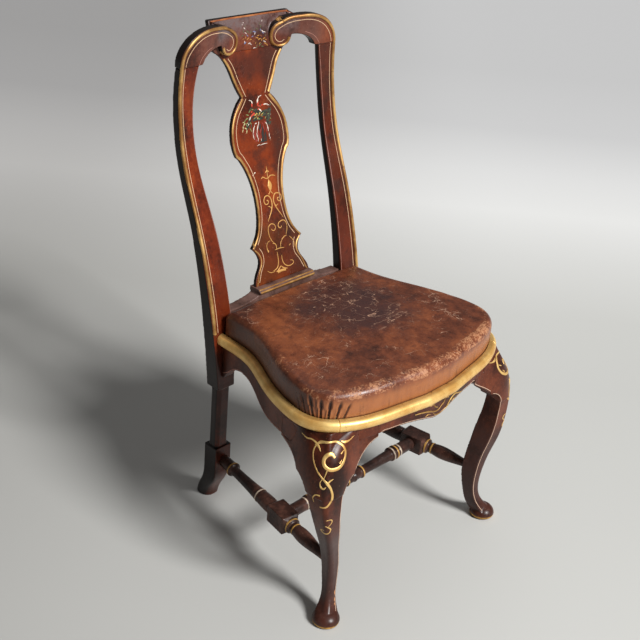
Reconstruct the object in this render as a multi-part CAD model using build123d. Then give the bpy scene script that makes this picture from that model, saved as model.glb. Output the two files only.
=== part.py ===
from build123d import *
import os
from math import sqrt

os.makedirs("parts", exist_ok=True)

# A painted and gilt side chair with cabriole front legs, an H of turned stretchers, a vase-shaped
# splat and a leather seat that drops into a gilt lipping. Millimetres, +Z up, +Y to the back.
# Sizes are measured from the floor and from the line between the front feet; the finished pieces
# are then moved back to front so that the origin is the bottom centre of the whole chair.

# ---- Driving sizes -----------------------------------------------------------------------------

reach = 400                # past the chair in every plan direction, for cutting blocks
joint_gap = 0.1            # glue line in every mortise
tenon_thick = 10
tenon_inset = 5            # shoulder above and below a rail tenon

# Seat plan: right half of the outer edge of the gilt lipping, from the rear post to the centre.
seat_plan = [(203, 399), (210, 305), (243, 227), (271, 138), (267, 68), (225, 28), (153, 2), (56, -14), (0, -17)]
plan_samples = 14
rail_top = 414             # the drop-in seat rests here
rail_set_back = 12         # rail face behind the lipping's edge
rail_thick = 26
lipping_high = 24
lipping_deep = 16
lipping_above_rail = 18
lipping_mitre = 0.62       # share of the half plan, from the rear, where the lipping is mitred

# Rear posts, sawn to an S in side view. Heights come first.
post_top = 930
post_front = [(305, 391), (420, 395), (540, 422), (640, 456), (740, 497), (840, 521), (930, 524)]
post_depth = [35, 31, 25, 21, 19, 17, 16]    # at the same heights as the front
post_back_round = 6
post_outer = [(305, 198), (430, 211), (640, 211), (840, 209), (930, 204)]
post_inner = [(305, 155), (430, 158), (640, 164), (740, 171), (840, 170), (930, 156)]
bead_wide = 8
bead_proud = 1.2

# Rear leg below the seat.
leg_block_side = 42
leg_block_depth = 36
leg_block_x = 176
leg_block_y = 408
upper_block_bottom = 305
shaft_inset = 4
shaft_chamfer = 7
lower_block_top = 157
lower_block_bottom = 94
rear_foot_x = 160
rear_foot_y = 452
rear_foot_wide = 48

# Front leg: at each height, how far its outer arris, side arrises and inner arris reach along the
# diagonal from the foot centre, its half width across, and its drift across the diagonal.
front_foot_x = 254
pad_radius = 27
pad_high = 16
leg_sections = [
    (412, -31, -62, -92, 44, 26),
    (380, -10, -46, -72, 43, 26),
    (345, 7, -24, -48, 40, 26),
    (300, 16, -12, -36, 34, 25),
    (245, 15.5, -13, -44, 27, 18),
    (205, 10, -20, -54, 23, 11),
    (165, -2, -31, -61, 19, 5),
    (120, -14, -38, -66, 17, -1),
    (80, -17, -38, -60, 15.5, -3.5),
    (50, -9, -30, -52, 14.5, -4),
    (31, 6, -20, -44, 18, -3),
    (15, 20, -6, -34, 24, -2),
]
# Knee: the leg's cheeks flare into the rails, and a bracket is glued on at each side.
bracket_front_start = 146
bracket_side_start = 152
knee_split_x = 222         # joint between the leg and its front bracket
knee_split_y = 74          # joint between the leg and its side bracket
knee_top = 406
knee_bottom = 292
knee_proud = 1.5           # how far the knee's face stands in front of the rails
stile_inner_x = 200
stile_inner_y = 92
arris_round = 9

# Crest rail, drawn from the front: right half, from the post joint over the shoulder to the volute.
shoulder = [(204, 930), (201, 951), (187, 972), (165, 987), (137, 994), (110, 994), (81, 990)]
under_arm = [(94, 955), (118, 953), (137, 944), (149, 927.5)]
volute_x = 67
volute_z = 957
volute_radius = 25
crest_bow = 30             # the middle of the crest stands this far behind its ends
arm_thick = 18
panel_set_back = 8         # panel face behind the volutes
panel_half = 106
panel_top = 998
panel_thick = 10
panel_roll = 13            # how far the top of the panel rolls back

# Splat, drawn from the front: right half, from the shoe up. Each run ends at a sharp point.
splat_runs = [
    [(76, 488), (66, 512), (55, 534), (58, 546), (71, 561)],
    [(71, 561), (49, 588), (39, 640), (47, 695), (65, 732)],
    [(65, 732), (72, 738)],
    [(72, 738), (77, 765), (69, 805), (38, 846)],
    [(38, 846), (54, 877), (66, 905), (90, 934)],
]
splat_front = [(488, 424), (560, 448), (734, 505), (846, 537), (934, 553)]
splat_thick = 8
splat_bead = 5
splat_bead_proud = 1.2
splat_tenon = 14

# Shoe and rear seat rail.
shoe_cap_bottom = 478
shoe_cap_half = 79
shoe_cap_front = 408
shoe_front = 411
shoe_back = 440
shoe_end_z = 466
shoe_neck_half = 74
rear_rail_front = 374
rear_rail_back = 424
rear_rail_bottom = 362
rear_tenon_long = 15

# Crest tenon on each post.
crest_tenon_wide = 22
crest_tenon_long = 20

# Front and side rails.
front_rail_bottom = 382
front_rail_drop = 14
front_rail_drop_half = 70
side_rail_bottom = 355
side_rail_arch = 374
side_rail_heel = 336
rail_tenon_long = 22

# Stretchers. Each is turned about its own axis; the square in the side one takes the cross one.
stretcher_z = 120
side_rear = (173, leg_block_y - leg_block_depth / 2)
side_front = (227, 41)     # where its axis meets the front leg
stretcher_tenon_radius = 8
stretcher_tenon_long = 18
square_from = 185
square_to = 246
square_side = 39
square_chamfer = 5

# Drop-in seat.
seat_gap = 0.6             # between the leather and the lipping
leather_thick = 2
slip_high = 20
slip_wide = 56
slip_rear_gap = 2          # between the leather and the rear posts
cushion_edge = 482
cushion_crown = 494
cushion_round = 12
cover_return = 34
web_thick = 1.5
web_wide = 50
web_pitch = 75
tack_head_radius = 4
tack_head_high = 0.8
tack_shank_radius = 1
tack_shank_long = 9
pin_radius = 0.9
pin_long = 30


# ---- Shared forms ------------------------------------------------------------------------------

def edge_through(points):
    """A line between two points or a smooth curve through more."""
    return Line(*points) if len(points) == 2 else Spline(*points)


def drawn_front(runs, y_from, y_to):
    """Solid whose outline is drawn from the front, as (x, z) runs, and carried from y_from to y_to."""
    edges = [edge_through([(x, y_from, z) for x, z in run]) for run in runs]
    return extrude(Face(Wire(edges)), amount=y_to - y_from, dir=(0, 1, 0))


def drawn_side(runs, x_from, x_to):
    """Solid whose outline is drawn from the side, as (y, z) runs, and carried from x_from to x_to."""
    edges = [edge_through([(x_from, y, z) for y, z in run]) for run in runs]
    return extrude(Face(Wire(edges)), amount=x_to - x_from, dir=(1, 0, 0))


def flipped(runs):
    """The runs of an outline mirrored about x = 0, in the order that closes it."""
    return [[(-x, z) for x, z in reversed(run)] for run in reversed(runs)]


def box_between(low, high):
    """Box from its low corner to its high corner."""
    size = [b - a for a, b in zip(low, high)]
    centre = [(a + b) / 2 for a, b in zip(low, high)]
    return Pos(*centre) * Box(*size)


def plan_edge(inset):
    """Right half of the seat plan, set in from the lipping's outer edge."""
    base = Spline(*seat_plan, tangents=[(0, -1), (-1, 0)])
    points = []
    for i in range(plan_samples + 1):
        along = base % (i / plan_samples)
        points.append(base @ (i / plan_samples) + inset * Vector(along.Y, -along.X))
    return Spline(*points, tangents=[(0, -1), (-1, 0)])


def plan_prism(inset, low, high):
    """Prism over the seat plan, set in from the lipping's outer edge, between two heights."""
    half = plan_edge(inset)
    rear = half @ 0
    across = Line((-rear.X, rear.Y), (rear.X, rear.Y))
    face = Face(Wire([half, half.mirror(Plane.YZ), across]))
    return extrude(Pos(0, 0, low) * face, amount=high - low, dir=(0, 0, 1))


# ---- Back --------------------------------------------------------------------------------------

def post_side(x_from, x_to, shift=0.0):
    """Slab with the post's S in side view; shift moves the front face back."""
    front = [(y + shift, z) for z, y in post_front]
    back = [(y + deep, z) for (z, y), deep in zip(post_front, post_depth)][::-1]
    runs = [front, [front[-1], back[0]], back, [back[-1], front[0]]]
    return drawn_side(runs, x_from, x_to)


def post_outline(inset=0.0):
    """The right post's outline from the front, carried from front to back; inset leaves the bead out."""
    outer = [(x - inset, z) for z, x in post_outer]
    inner = [(x, z) for z, x in reversed(post_inner)]
    runs = [outer, [outer[-1], inner[0]], inner, [inner[-1], outer[0]]]
    return drawn_front(runs, 0, reach + 300)


def post_upright():
    """Right post from the upper block to the crest joint, with a gilt bead left proud on its edge."""
    body = post_side(0, reach) & post_outline()
    skin = post_side(0, reach) - post_side(0, reach, bead_proud)
    above_seat = box_between((0, 0, rail_top), (reach, reach + 300, post_top + 1))
    body = body - (skin & post_outline(bead_wide) & above_seat)
    back_edges = body.edges().filter_by(lambda edge: edge.length > post_top / 2).sort_by(Axis.Y)[-2:]
    return fillet(back_edges, post_back_round)


def rear_leg():
    """Right rear leg below the seat: block, chamfered shaft, stretcher block and swept foot."""
    block = Rectangle(leg_block_side, leg_block_depth)
    shaft_side = leg_block_side - 2 * shaft_inset
    shaft_depth = leg_block_depth - 2 * shaft_inset
    shaft = chamfer(Rectangle(shaft_side, shaft_depth).vertices(), shaft_chamfer)
    at_block = Pos(leg_block_x, leg_block_y, 0)
    upper = extrude(at_block * Pos(0, 0, upper_block_bottom - 2) * block, amount=tenon_thick)
    middle = extrude(at_block * Pos(0, 0, lower_block_top) * shaft, amount=upper_block_bottom - lower_block_top)
    lower_high = lower_block_top - lower_block_bottom
    lower = extrude(at_block * Pos(0, 0, lower_block_bottom) * block, amount=lower_high)
    foot = loft([
        at_block * Pos(0, 0, lower_block_bottom) * RectangleRounded(leg_block_side, leg_block_depth, 1),
        Pos(leg_block_x - 4, leg_block_y + 12, 62) * RectangleRounded(40, 37, 6),
        Pos(rear_foot_x + 4, rear_foot_y - 12, 30) * RectangleRounded(42, 40, 14),
        Pos(rear_foot_x, rear_foot_y, 0) * RectangleRounded(rear_foot_wide - 4, rear_foot_wide - 4, 20),
    ])
    return upper + middle + lower + foot


def shoulder_arm(y_from, y_to):
    """Right arm of the crest, seen from the front: over the shoulder and down into its volute."""
    volute = Pos(volute_x, y_from, volute_z) * Rot(-90, 0, 0) * Circle(volute_radius)
    hook = (volute_x, y_from, volute_z + volute_radius)
    over = [(x, y_from, z) for x, z in shoulder]
    under = [(x, y_from, z) for x, z in under_arm]
    neck = (volute_x + 12, y_from, volute_z)
    band = Face(Wire([
        Spline(*over, hook),
        Line(hook, neck),
        Line(neck, under[0]),
        Spline(*under),
        Line(under[-1], over[0]),
    ]))
    forward = {"amount": y_to - y_from, "dir": (0, 1, 0)}
    return extrude(band, **forward) + extrude(volute, **forward)


def bowed_slab(front_y):
    """Slab bowed back in plan, from post to post, that the crest's arms are sawn from."""
    end = post_outer[-1][1] + 2
    flat = post_inner[-1][1]
    deep = front_y + crest_bow
    half = [(end, front_y), (flat, front_y + 2), (volute_x, deep - crest_bow / 4), (0, deep)]
    curve = Spline(*half, tangents=[(-1, 0), (-1, 0)])
    back = Pos(0, arm_thick, 0) * curve
    edges = [curve, curve.mirror(Plane.YZ), back, back.mirror(Plane.YZ)]
    ends = [Line((side * end, front_y), (side * end, front_y + arm_thick)) for side in (1, -1)]
    face = Face(Wire(edges + ends))
    return extrude(Pos(0, 0, post_top - 10) * face, amount=panel_top - post_top + 20, dir=(0, 0, 1))


def crest_panel():
    """Centre panel between the volutes, rolled back at its top edge."""
    front_y = post_front[-1][1] + crest_bow * 0.75 + panel_set_back
    low = splat_front[-1]
    front = [(low[1], low[0]), (front_y + 2, 962), (front_y + panel_roll, panel_top)]
    back = [(y + panel_thick, z) for y, z in reversed(front)]
    side = drawn_side([front, [front[-1], back[0]], back, [back[-1], front[0]]], -panel_half - 5, panel_half + 5)
    base = splat_runs[-1][-1]
    half = [
        [(0, low[0]), base],
        [base, (panel_half - 4, 944), (panel_half, 962)],
        [(panel_half, 962), (panel_half, panel_top - 3)],
        [(panel_half, panel_top - 3), (panel_half - 3, panel_top)],
        [(panel_half - 3, panel_top), (0, panel_top)],
    ]
    right = drawn_front(half + [[(0, panel_top), (0, low[0])]], 400, 700)
    return side & (right + mirror(right, Plane.YZ))


def splat_face_prism(inset=0):
    """The splat's outline, carried from front to back; inset narrows it inside its gilt edge."""
    runs = [[(x - inset, z) for x, z in run] for run in splat_runs]
    head, base = runs[-1][-1], runs[0][0]
    across = [[head, (-head[0], head[1])]]
    closing = [[(-base[0], base[1]), base]]
    return drawn_front(runs + across + flipped(runs) + closing, 350, 650)


def splat_side(shift, thick, half):
    """Curved board that the splat is sawn from."""
    front = [(y + shift, z) for z, y in splat_front]
    back = [(y + shift + thick, z) for z, y in reversed(splat_front)]
    return drawn_side([front, [front[-1], back[0]], back, [back[-1], front[0]]], -half, half)


def splat_body():
    """Splat with its gilt edge left proud and a tenon at each end."""
    base, head = splat_runs[0][0], splat_runs[-1][-1]
    body = splat_side(0, splat_thick, 200) & splat_face_prism()
    skin = splat_side(-1, splat_bead_proud + 1, 200) & splat_face_prism(splat_bead)
    body = body - skin
    return body + splat_tenon_at(base, splat_front[0][1], -1) + splat_tenon_at(head, splat_front[-1][1], 1)


def splat_tenon_at(end, front_y, way, gap=0.0):
    """Stub tenon on the splat's end, or the mortise for it when gap is given."""
    half = end[0] - 2 * tenon_inset + gap
    low, high = sorted((end[1] - way, end[1] + way * (splat_tenon + gap)))
    return box_between((-half, front_y + 2 - gap, low), (half, front_y + splat_thick - 2 + gap, high))


def shoe_body():
    """Shoe between the posts: swept up to a moulded cap that carries the splat."""
    cap_low = shoe_cap_bottom
    half_span = post_inner[0][1] + 15
    side = [
        [(0, rail_top), (half_span, rail_top)],
        [(half_span, rail_top), (half_span, shoe_end_z)],
        [(half_span, shoe_end_z), (120, shoe_end_z + 2), (shoe_neck_half + 12, shoe_end_z + 8),
         (shoe_neck_half, cap_low)],
        [(shoe_neck_half, cap_low), (0, cap_low)],
        [(0, cap_low), (0, rail_top)],
    ]
    half = drawn_front(side, shoe_front, shoe_back)
    cap_top = splat_runs[0][0][1]
    mid = (cap_low + cap_top) / 2
    front = [
        [(shoe_front, cap_low), (shoe_cap_front, cap_low + 1), (shoe_cap_front, mid)],
        [(shoe_cap_front, mid), (shoe_front + 3, cap_top)],
        [(shoe_front + 3, cap_top), (shoe_back, cap_top)],
        [(shoe_back, cap_top), (shoe_back, cap_low)],
        [(shoe_back, cap_low), (shoe_front, cap_low)],
    ]
    cap = drawn_side(front, -shoe_cap_half, shoe_cap_half)
    slope = [
        [(shoe_front, rail_top), (shoe_front, cap_top)],
        [(shoe_front, cap_top), (shoe_back, cap_top)],
        [(shoe_back, cap_top), (rear_rail_back, rail_top)],
        [(rear_rail_back, rail_top), (shoe_front, rail_top)],
    ]
    body = (half + mirror(half, Plane.YZ)) & drawn_side(slope, -half_span, half_span)
    return body + cap


# ---- Seat frame --------------------------------------------------------------------------------

def rear_rail_body(gap=0.0):
    """Rear seat rail with a tenon into each post; with a gap, only the mortises."""
    half = post_inner[0][1]
    middle_y = leg_block_y
    tenon = box_between(
        (-half - rear_tenon_long - gap, middle_y - tenon_thick / 2 - gap, rear_rail_bottom + tenon_inset - gap),
        (half + rear_tenon_long + gap, middle_y + tenon_thick / 2 + gap, rail_top - tenon_inset + gap))
    if gap:
        return tenon
    return tenon + box_between((-half, rear_rail_front, rear_rail_bottom), (half, rear_rail_back, rail_top))


def rail_ring(low, high):
    """Ring of rail stock following the seat plan, from its face in to its back."""
    outer = plan_prism(rail_set_back, low, high)
    return outer - plan_prism(rail_set_back + rail_thick, low - 1, high + 1)


def side_rail_outline():
    """Right side rail seen from the side: heel against the rear post, arch, then level to the leg."""
    rear = seat_plan[0][1]
    runs = [
        [(rear, rail_top), (rear, side_rail_heel)],
        [(rear, side_rail_heel), (leg_block_y - leg_block_depth / 2 - 6, side_rail_heel)],
        [(leg_block_y - leg_block_depth / 2 - 6, side_rail_heel), (364, 362), (335, side_rail_arch)],
        [(335, side_rail_arch), (300, 369), (256, side_rail_bottom), (180, side_rail_bottom),
         (stile_inner_y, side_rail_bottom)],
        [(stile_inner_y, side_rail_bottom), (stile_inner_y, rail_top)],
        [(stile_inner_y, rail_top), (rear, rail_top)],
    ]
    return drawn_side(runs, 100, 300)


def side_tenon(rear, gap=0.0):
    """Tenon of the right side rail into the rear post or into the front leg."""
    y = post_front[0][1] if rear else stile_inner_y
    face = rail_face_x(y)
    middle = face - rail_thick / 2
    low = (side_rail_heel if rear else side_rail_bottom) + tenon_inset - gap
    start, end = (y - 1, y + rail_tenon_long + gap) if rear else (y - rail_tenon_long - gap, y + 1)
    return box_between(
        (middle - tenon_thick / 2 - gap, start, low),
        (middle + tenon_thick / 2 + gap, end, rail_top - tenon_inset + gap))


def rail_face_x(y):
    """How far out the side rail's face stands at y."""
    crossing = plan_edge(rail_set_back).intersect(Line((100, y), (400, y)))
    return max(point.X for point in crossing.vertices()) if hasattr(crossing, "vertices") else crossing.X


def front_rail_outline():
    """Front rail seen from the front, with the carved drop in its middle."""
    level, drop = front_rail_bottom, front_rail_drop
    half = front_rail_drop_half
    lower = [
        (-stile_inner_x, level - 2), (-half - 30, level + 2), (-half, level),
        (-half / 3, level - drop * 0.6), (0, level - drop), (half / 3, level - drop * 0.6),
        (half, level), (half + 30, level + 2), (stile_inner_x, level - 2),
    ]
    runs = [
        lower,
        [lower[-1], (stile_inner_x, rail_top)],
        [(stile_inner_x, rail_top), (-stile_inner_x, rail_top)],
        [(-stile_inner_x, rail_top), lower[0]],
    ]
    return drawn_front(runs, -60, 100)


def front_tenon(gap=0.0):
    """Tenon of the front rail into the right leg."""
    face = front_face_y(stile_inner_x)
    middle = face + rail_thick / 2 + 2
    return box_between(
        (stile_inner_x - 1, middle - tenon_thick / 2 - gap, front_rail_bottom + tenon_inset - gap),
        (stile_inner_x + rail_tenon_long + gap, middle + tenon_thick / 2 + gap, rail_top - tenon_inset + gap))


def front_face_y(x):
    """How far back the front rail's face stands at x."""
    crossing = plan_edge(rail_set_back).intersect(Line((x, -50), (x, 90)))
    return min(point.Y for point in crossing.vertices()) if hasattr(crossing, "vertices") else crossing.Y


def front_rail_body():
    """Front rail between the two front legs, sawn to the seat's curve, with both tenons."""
    rail = rail_ring(front_rail_bottom - front_rail_drop, rail_top) & front_rail_outline()
    return rail + front_tenon() + mirror(front_tenon(), Plane.YZ)


def leg_section(z, tip, side, inner, half, drift):
    """Kite-shaped section of the right front leg with its outer arris rounded."""
    corners = [(tip, drift), (side, drift + half), (inner, drift), (side, drift - half)]
    face = Face(Wire.make_polygon([Vector(*corner) for corner in corners]))
    outer = face.vertices().sort_by(Axis.X)[-1]
    face = face.fillet_2d(min(arris_round, half * 0.6), [outer])
    return Pos(front_foot_x, 0, z) * Rot(0, 0, -45) * face


def front_leg_body():
    """Right cabriole leg: knee, ankle, pad foot and the stile that the rails are joined to."""
    shaft = loft([leg_section(*row) for row in leg_sections])
    foot = Pos(front_foot_x, 0, 0) * Rot(0, 0, -45) * Pos(-4, -2, 0) * pad_foot()
    stile = plan_prism(rail_set_back, side_rail_bottom - 15, rail_top)
    stile = stile & box_between((stile_inner_x, -60, side_rail_bottom - 15), (400, stile_inner_y, rail_top))
    corner = box_between((stile_inner_x, -100, 0), (400, stile_inner_y, rail_top))
    return ((shaft + foot) & corner) + stile


def pad_foot():
    """Turned pad under the ankle."""
    profile = [
        [(0, 0), (pad_radius - 4, 0)],
        [(pad_radius - 4, 0), (pad_radius - 1, 3)],
        [(pad_radius - 1, 3), (pad_radius, pad_high / 2), (pad_radius - 3, pad_high),
         (pad_radius - 14, pad_high + 8)],
        [(pad_radius - 14, pad_high + 8), (0, pad_high + 9)],
        [(0, pad_high + 9), (0, 0)],
    ]
    edges = [edge_through([(r, 0, z) for r, z in run]) for run in profile]
    return revolve(Face(Wire(edges)), Axis.Z, 360)


def diagonal_point(out, across):
    """Plan point at a distance out along the right leg's diagonal and across it."""
    return front_foot_x + (out + across) / sqrt(2), (across - out) / sqrt(2)


def knee_section(row):
    """Section of the flared knee at the height of one leg section."""
    z, tip, side, inner, half, drift = row
    front_y, side_x = front_face_y(bracket_front_start), rail_face_x(bracket_side_start)
    blunt = arris_round / 2
    skin = [
        (bracket_front_start, front_y - knee_proud),
        diagonal_point(side + 0.5, drift - half - 0.5),
        diagonal_point(tip - blunt, drift - arris_round),
        diagonal_point(tip - blunt, drift + arris_round),
        diagonal_point(side + 0.5, drift + half + 0.5),
        (side_x + knee_proud, bracket_side_start),
    ]
    return closed_knee(skin, z)


def closed_knee(skin, z):
    """Face from the knee's outer skin, closed along the backs of the two brackets."""
    back_y, back_x = skin[0][1] + rail_thick, skin[-1][0] - rail_thick
    corners = [skin[-1], (back_x, bracket_side_start), (back_x, stile_inner_y)]
    corners += [(stile_inner_x, back_y), (bracket_front_start, back_y), skin[0]]
    edges = [Spline(*[(x, y, z) for x, y in skin])]
    edges += [Line((*start, z), (*end, z)) for start, end in zip(corners, corners[1:])]
    return Face(Wire(edges))


def knee_crown():
    """Top section of the knee, just proud of the rails under the lipping."""
    path = plan_edge(rail_set_back - knee_proud)
    skin = [(bracket_front_start, front_face_y(bracket_front_start) - knee_proud)]
    skin += [((path @ share).X, (path @ share).Y) for share in (0.72, 0.655, 0.59, 0.52)]
    skin.append((rail_face_x(bracket_side_start) + knee_proud, bracket_side_start))
    return closed_knee(skin, knee_top)


def knee_form():
    """The flared knee of the right leg with both brackets, hollowed below in two steps each."""
    rows = [row for row in leg_sections if knee_bottom < row[0] < knee_top - 20]
    solid = loft([knee_crown()] + [knee_section(row) for row in rows])
    level = front_rail_bottom
    far = 400
    front_lower = [
        [(bracket_front_start - 1, level - 3), (168, level - 25), (190, level - 38), (206, level - 50)],
        [(206, level - 50), (208, level - 56)],
        [(208, level - 56), (226, level - 61), (236, level - 73), (240, level - 90)],
        [(240, level - 90), (far, level - 90)],
        [(far, level - 90), (far, knee_top + 1)],
        [(far, knee_top + 1), (bracket_front_start - 1, knee_top + 1)],
        [(bracket_front_start - 1, knee_top + 1), (bracket_front_start - 1, level - 3)],
    ]
    level = side_rail_bottom
    side_lower = [
        [(bracket_side_start + 1, level), (134, level - 6), (112, level - 10), (90, level - 23)],
        [(90, level - 23), (86, level - 30)],
        [(86, level - 30), (68, level - 35), (57, level - 46), (53, level - 63)],
        [(53, level - 63), (-far, level - 63)],
        [(-far, level - 63), (-far, knee_top + 1)],
        [(-far, knee_top + 1), (bracket_side_start + 1, knee_top + 1)],
        [(bracket_side_start + 1, knee_top + 1), (bracket_side_start + 1, level)],
    ]
    return solid & drawn_front(front_lower, -100, 200) & drawn_side(side_lower, 100, 400)


# ---- Gilt lipping ------------------------------------------------------------------------------

def lipping_run(start, end):
    """Part of the right half of the lipping, between two shares of the plan's length."""
    path = plan_edge(0).trim(start, end)
    path = Pos(0, 0, rail_top + lipping_above_rail - lipping_high / 2) * path
    along = path % 0
    place = Plane(origin=path @ 0, x_dir=(along.Y, -along.X, 0), z_dir=along)
    nose = lipping_high / 2
    straight = Pos((nose + lipping_deep) / 2, 0) * Rectangle(lipping_deep - nose, lipping_high)
    section = Pos(nose, 0) * Circle(nose) + straight
    section = section & Pos(lipping_deep / 2, 0) * Rectangle(lipping_deep, lipping_high)
    return sweep(place * section, path)


# ---- Stretchers --------------------------------------------------------------------------------

def turned(profile):
    """Solid turned about +X from runs of (distance, radius), closed along the axis."""
    points = [run[0] for run in profile] + [profile[-1][-1]]
    edges = [edge_through([(d, 0, r) for d, r in run]) for run in profile]
    edges.append(Line((points[-1][0], 0, points[-1][1]), (points[-1][0], 0, 0)))
    edges.append(Line((points[-1][0], 0, 0), (points[0][0], 0, 0)))
    edges.append(Line((points[0][0], 0, 0), (points[0][0], 0, points[0][1])))
    return revolve(Face(Wire(edges)), Axis.X, 360)


def ring(middle, wide, low, proud):
    """Runs for one turned ring: up, round and down, between equal radii."""
    return [[(middle - wide / 2, low), (middle - wide / 4, low + proud * 0.86), (middle, low + proud),
             (middle + wide / 4, low + proud * 0.86), (middle + wide / 2, low)]]


def side_place():
    """Place and length of the right side stretcher: from the rear block's face to the front leg."""
    start = Vector(side_rear[0], side_rear[1], stretcher_z)
    end = Vector(side_front[0], side_front[1], stretcher_z)
    along = end - start
    return Plane(origin=start, x_dir=along, z_dir=(0, 0, 1)), along.length


def side_stretcher_body():
    """Right side stretcher: boss, ring, long cone, chamfered square and vase, with round tenons."""
    place, length = side_place()
    tenon = stretcher_tenon_radius
    rear = turned([
        [(-stretcher_tenon_long, tenon), (0, tenon)],
        [(0, tenon), (0, 13)],
        [(0, 13), (33, 13.5)],
        *ring(37, 8, 13.5, 2.5),
        [(41, 13.5), (44, 10.5)],
        [(44, 10.5), (90, 11.5), (136, 14.5)],
        *ring(139, 6, 14.5, 1),
        [(142, 14.5), (168, 16), (square_from + 6, 15)],
    ])
    front = turned([
        [(square_to - 6, 15), (square_to, 15)],
        *ring(square_to + 3, 6, 15, 2),
        [(square_to + 6, 15), (square_to + 8, 11.5)],
        [(square_to + 8, 11.5), (square_to + 14, 12)],
        *ring(square_to + 16, 4, 12, 1.2),
        [(square_to + 18, 12), (square_to + 40, 14.5), (square_to + 70, 12), (length, tenon)],
        [(length, tenon), (length + stretcher_tenon_long, tenon)],
    ])
    square_long = square_to - square_from
    square = Pos((square_from + square_to) / 2, 0, 0) * Box(square_long, square_side, square_side)
    ends = square.edges().filter_by(Axis.X, reverse=True)
    square = chamfer(ends, square_chamfer)
    return place.location * (rear + square + front)


def side_stretcher_tenons(gap):
    """The side stretcher's round tenons, for their mortises."""
    place, length = side_place()
    whole = length + 2 * stretcher_tenon_long + 2 * gap
    return place.location * Pos(length / 2, 0, 0) * Rot(0, 90, 0) * Cylinder(stretcher_tenon_radius + gap, whole)


def cross_place():
    """Where the cross stretcher's axis meets the right side stretcher's."""
    place, length = side_place()
    return place.origin + place.x_dir * ((square_from + square_to) / 2)


def cross_half(gap=0.0):
    """Right half of the cross stretcher, or the mortise for its tenon when gap is given."""
    centre = cross_place()
    shoulder_x = centre.X - square_side / 2
    tenon = stretcher_tenon_radius + gap
    at_axis = Pos(0, centre.Y, stretcher_z)
    if gap:
        deep = stretcher_tenon_long + gap
        return at_axis * Pos(shoulder_x + deep / 2 - 1, 0, 0) * Rot(0, 90, 0) * Cylinder(tenon, deep + 2)
    return at_axis * turned([
        [(0, 13.5), (2, 13.2), (4, 12)],
        [(4, 12), (20, 11.5)],
        *ring(23.5, 7, 11.5, 3),
        [(27, 11.5), (29, 10)],
        [(29, 10), (75, 11), (117, 12.5)],
        *ring(122, 10, 12.5, 3.5),
        [(127, 12.5), (129, 12.5)],
        *ring(134, 10, 12.5, 3.5),
        [(139, 12.5), (142, 13.5)],
        *ring(144.5, 5, 13.5, 0.8),
        [(147, 13.5), (shoulder_x + 3, 13.5)],
        [(shoulder_x + 3, 13.5), (shoulder_x + 3, tenon)],
        [(shoulder_x + 3, tenon), (shoulder_x + stretcher_tenon_long, tenon)],
    ])


# ---- Drop-in seat ------------------------------------------------------------------------------

def seat_rear():
    """How far back the drop-in seat reaches, in front of the posts."""
    return post_front[1][1] - slip_rear_gap


def seat_prism(extra, low, high):
    """Prism inside the lipping, set in by extra from the leather's outer face."""
    prism = plan_prism(lipping_deep + seat_gap + extra, low, high)
    return prism & box_between((-400, -100, low - 1), (400, seat_rear() - extra, high + 1))


def cushion_form(extra, low):
    """Straight-walled cushion with a slight crown and a crisp rounded edge."""
    crown = cushion_crown - extra
    reach = seat_plan[3][0] - 20
    drop = cushion_crown - cushion_edge
    radius = (reach ** 2 + drop ** 2) / (2 * drop)
    middle_y = (seat_rear() + seat_plan[-1][1]) / 2
    dome = Pos(0, middle_y, crown - radius) * Sphere(radius)
    form = seat_prism(extra, low, crown + 5) & dome
    rim = form.faces().sort_by(Axis.Z)[-1].edges()
    return fillet(rim, cushion_round - extra)


def slip_member(low, high):
    """Slip-frame stock between two plan corners, cut to the seat's outline."""
    bottom = rail_top + leather_thick
    stock = seat_prism(leather_thick, bottom, bottom + slip_high)
    return stock & box_between((low[0], low[1], bottom), (high[0], high[1], bottom + slip_high))


def slip_tenon(rear, gap=0.0):
    """Tenon of the right slip-frame side into the front or rear member."""
    middle = rail_top + leather_thick + slip_high / 2
    front_y, rear_y = slip_limits()
    deep = slip_wide / 2 + gap
    y_low, y_high = (rear_y - 1, rear_y + deep) if rear else (front_y - deep, front_y + 1)
    x_low = slip_inner_x() + tenon_inset
    return box_between((x_low - gap, y_low, middle - 3 - gap), (x_low + 30 + gap, y_high, middle + 3 + gap))


def slip_inner_x():
    """Inner edge of the slip frame's sides."""
    return seat_plan[0][0] - lipping_deep - slip_wide


def slip_limits():
    """Where the slip frame's front and rear members meet its sides."""
    return seat_plan[-1][1] + lipping_deep + slip_wide + 10, seat_rear() - slip_wide


def webbing(lengthwise):
    """Three straps over the slip frame."""
    base = rail_top + leather_thick + slip_high + (web_thick if lengthwise else 0)
    front_y, rear_y = slip_limits()
    middle_y = (front_y + rear_y) / 2
    straps = []
    field = seat_prism(leather_thick + 14, base, base + web_thick)
    for step in (-1, 0, 1):
        if lengthwise:
            place, size = Pos(step * web_pitch, middle_y, base), (web_wide, 600)
        else:
            place, size = Pos(0, middle_y + step * web_pitch, base), (700, web_wide)
        straps += (field & extrude(place * Rectangle(*size), amount=web_thick)).solids()
    return Compound(straps)


def leather_cover():
    """Leather drawn over the stuffing, down the sides and under the slip frame."""
    inner = cushion_form(leather_thick, rail_top + leather_thick)
    outer = cushion_form(0, rail_top)
    opening = seat_prism(cover_return, rail_top - 1, rail_top + leather_thick + 1)
    return outer - inner - opening


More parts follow.
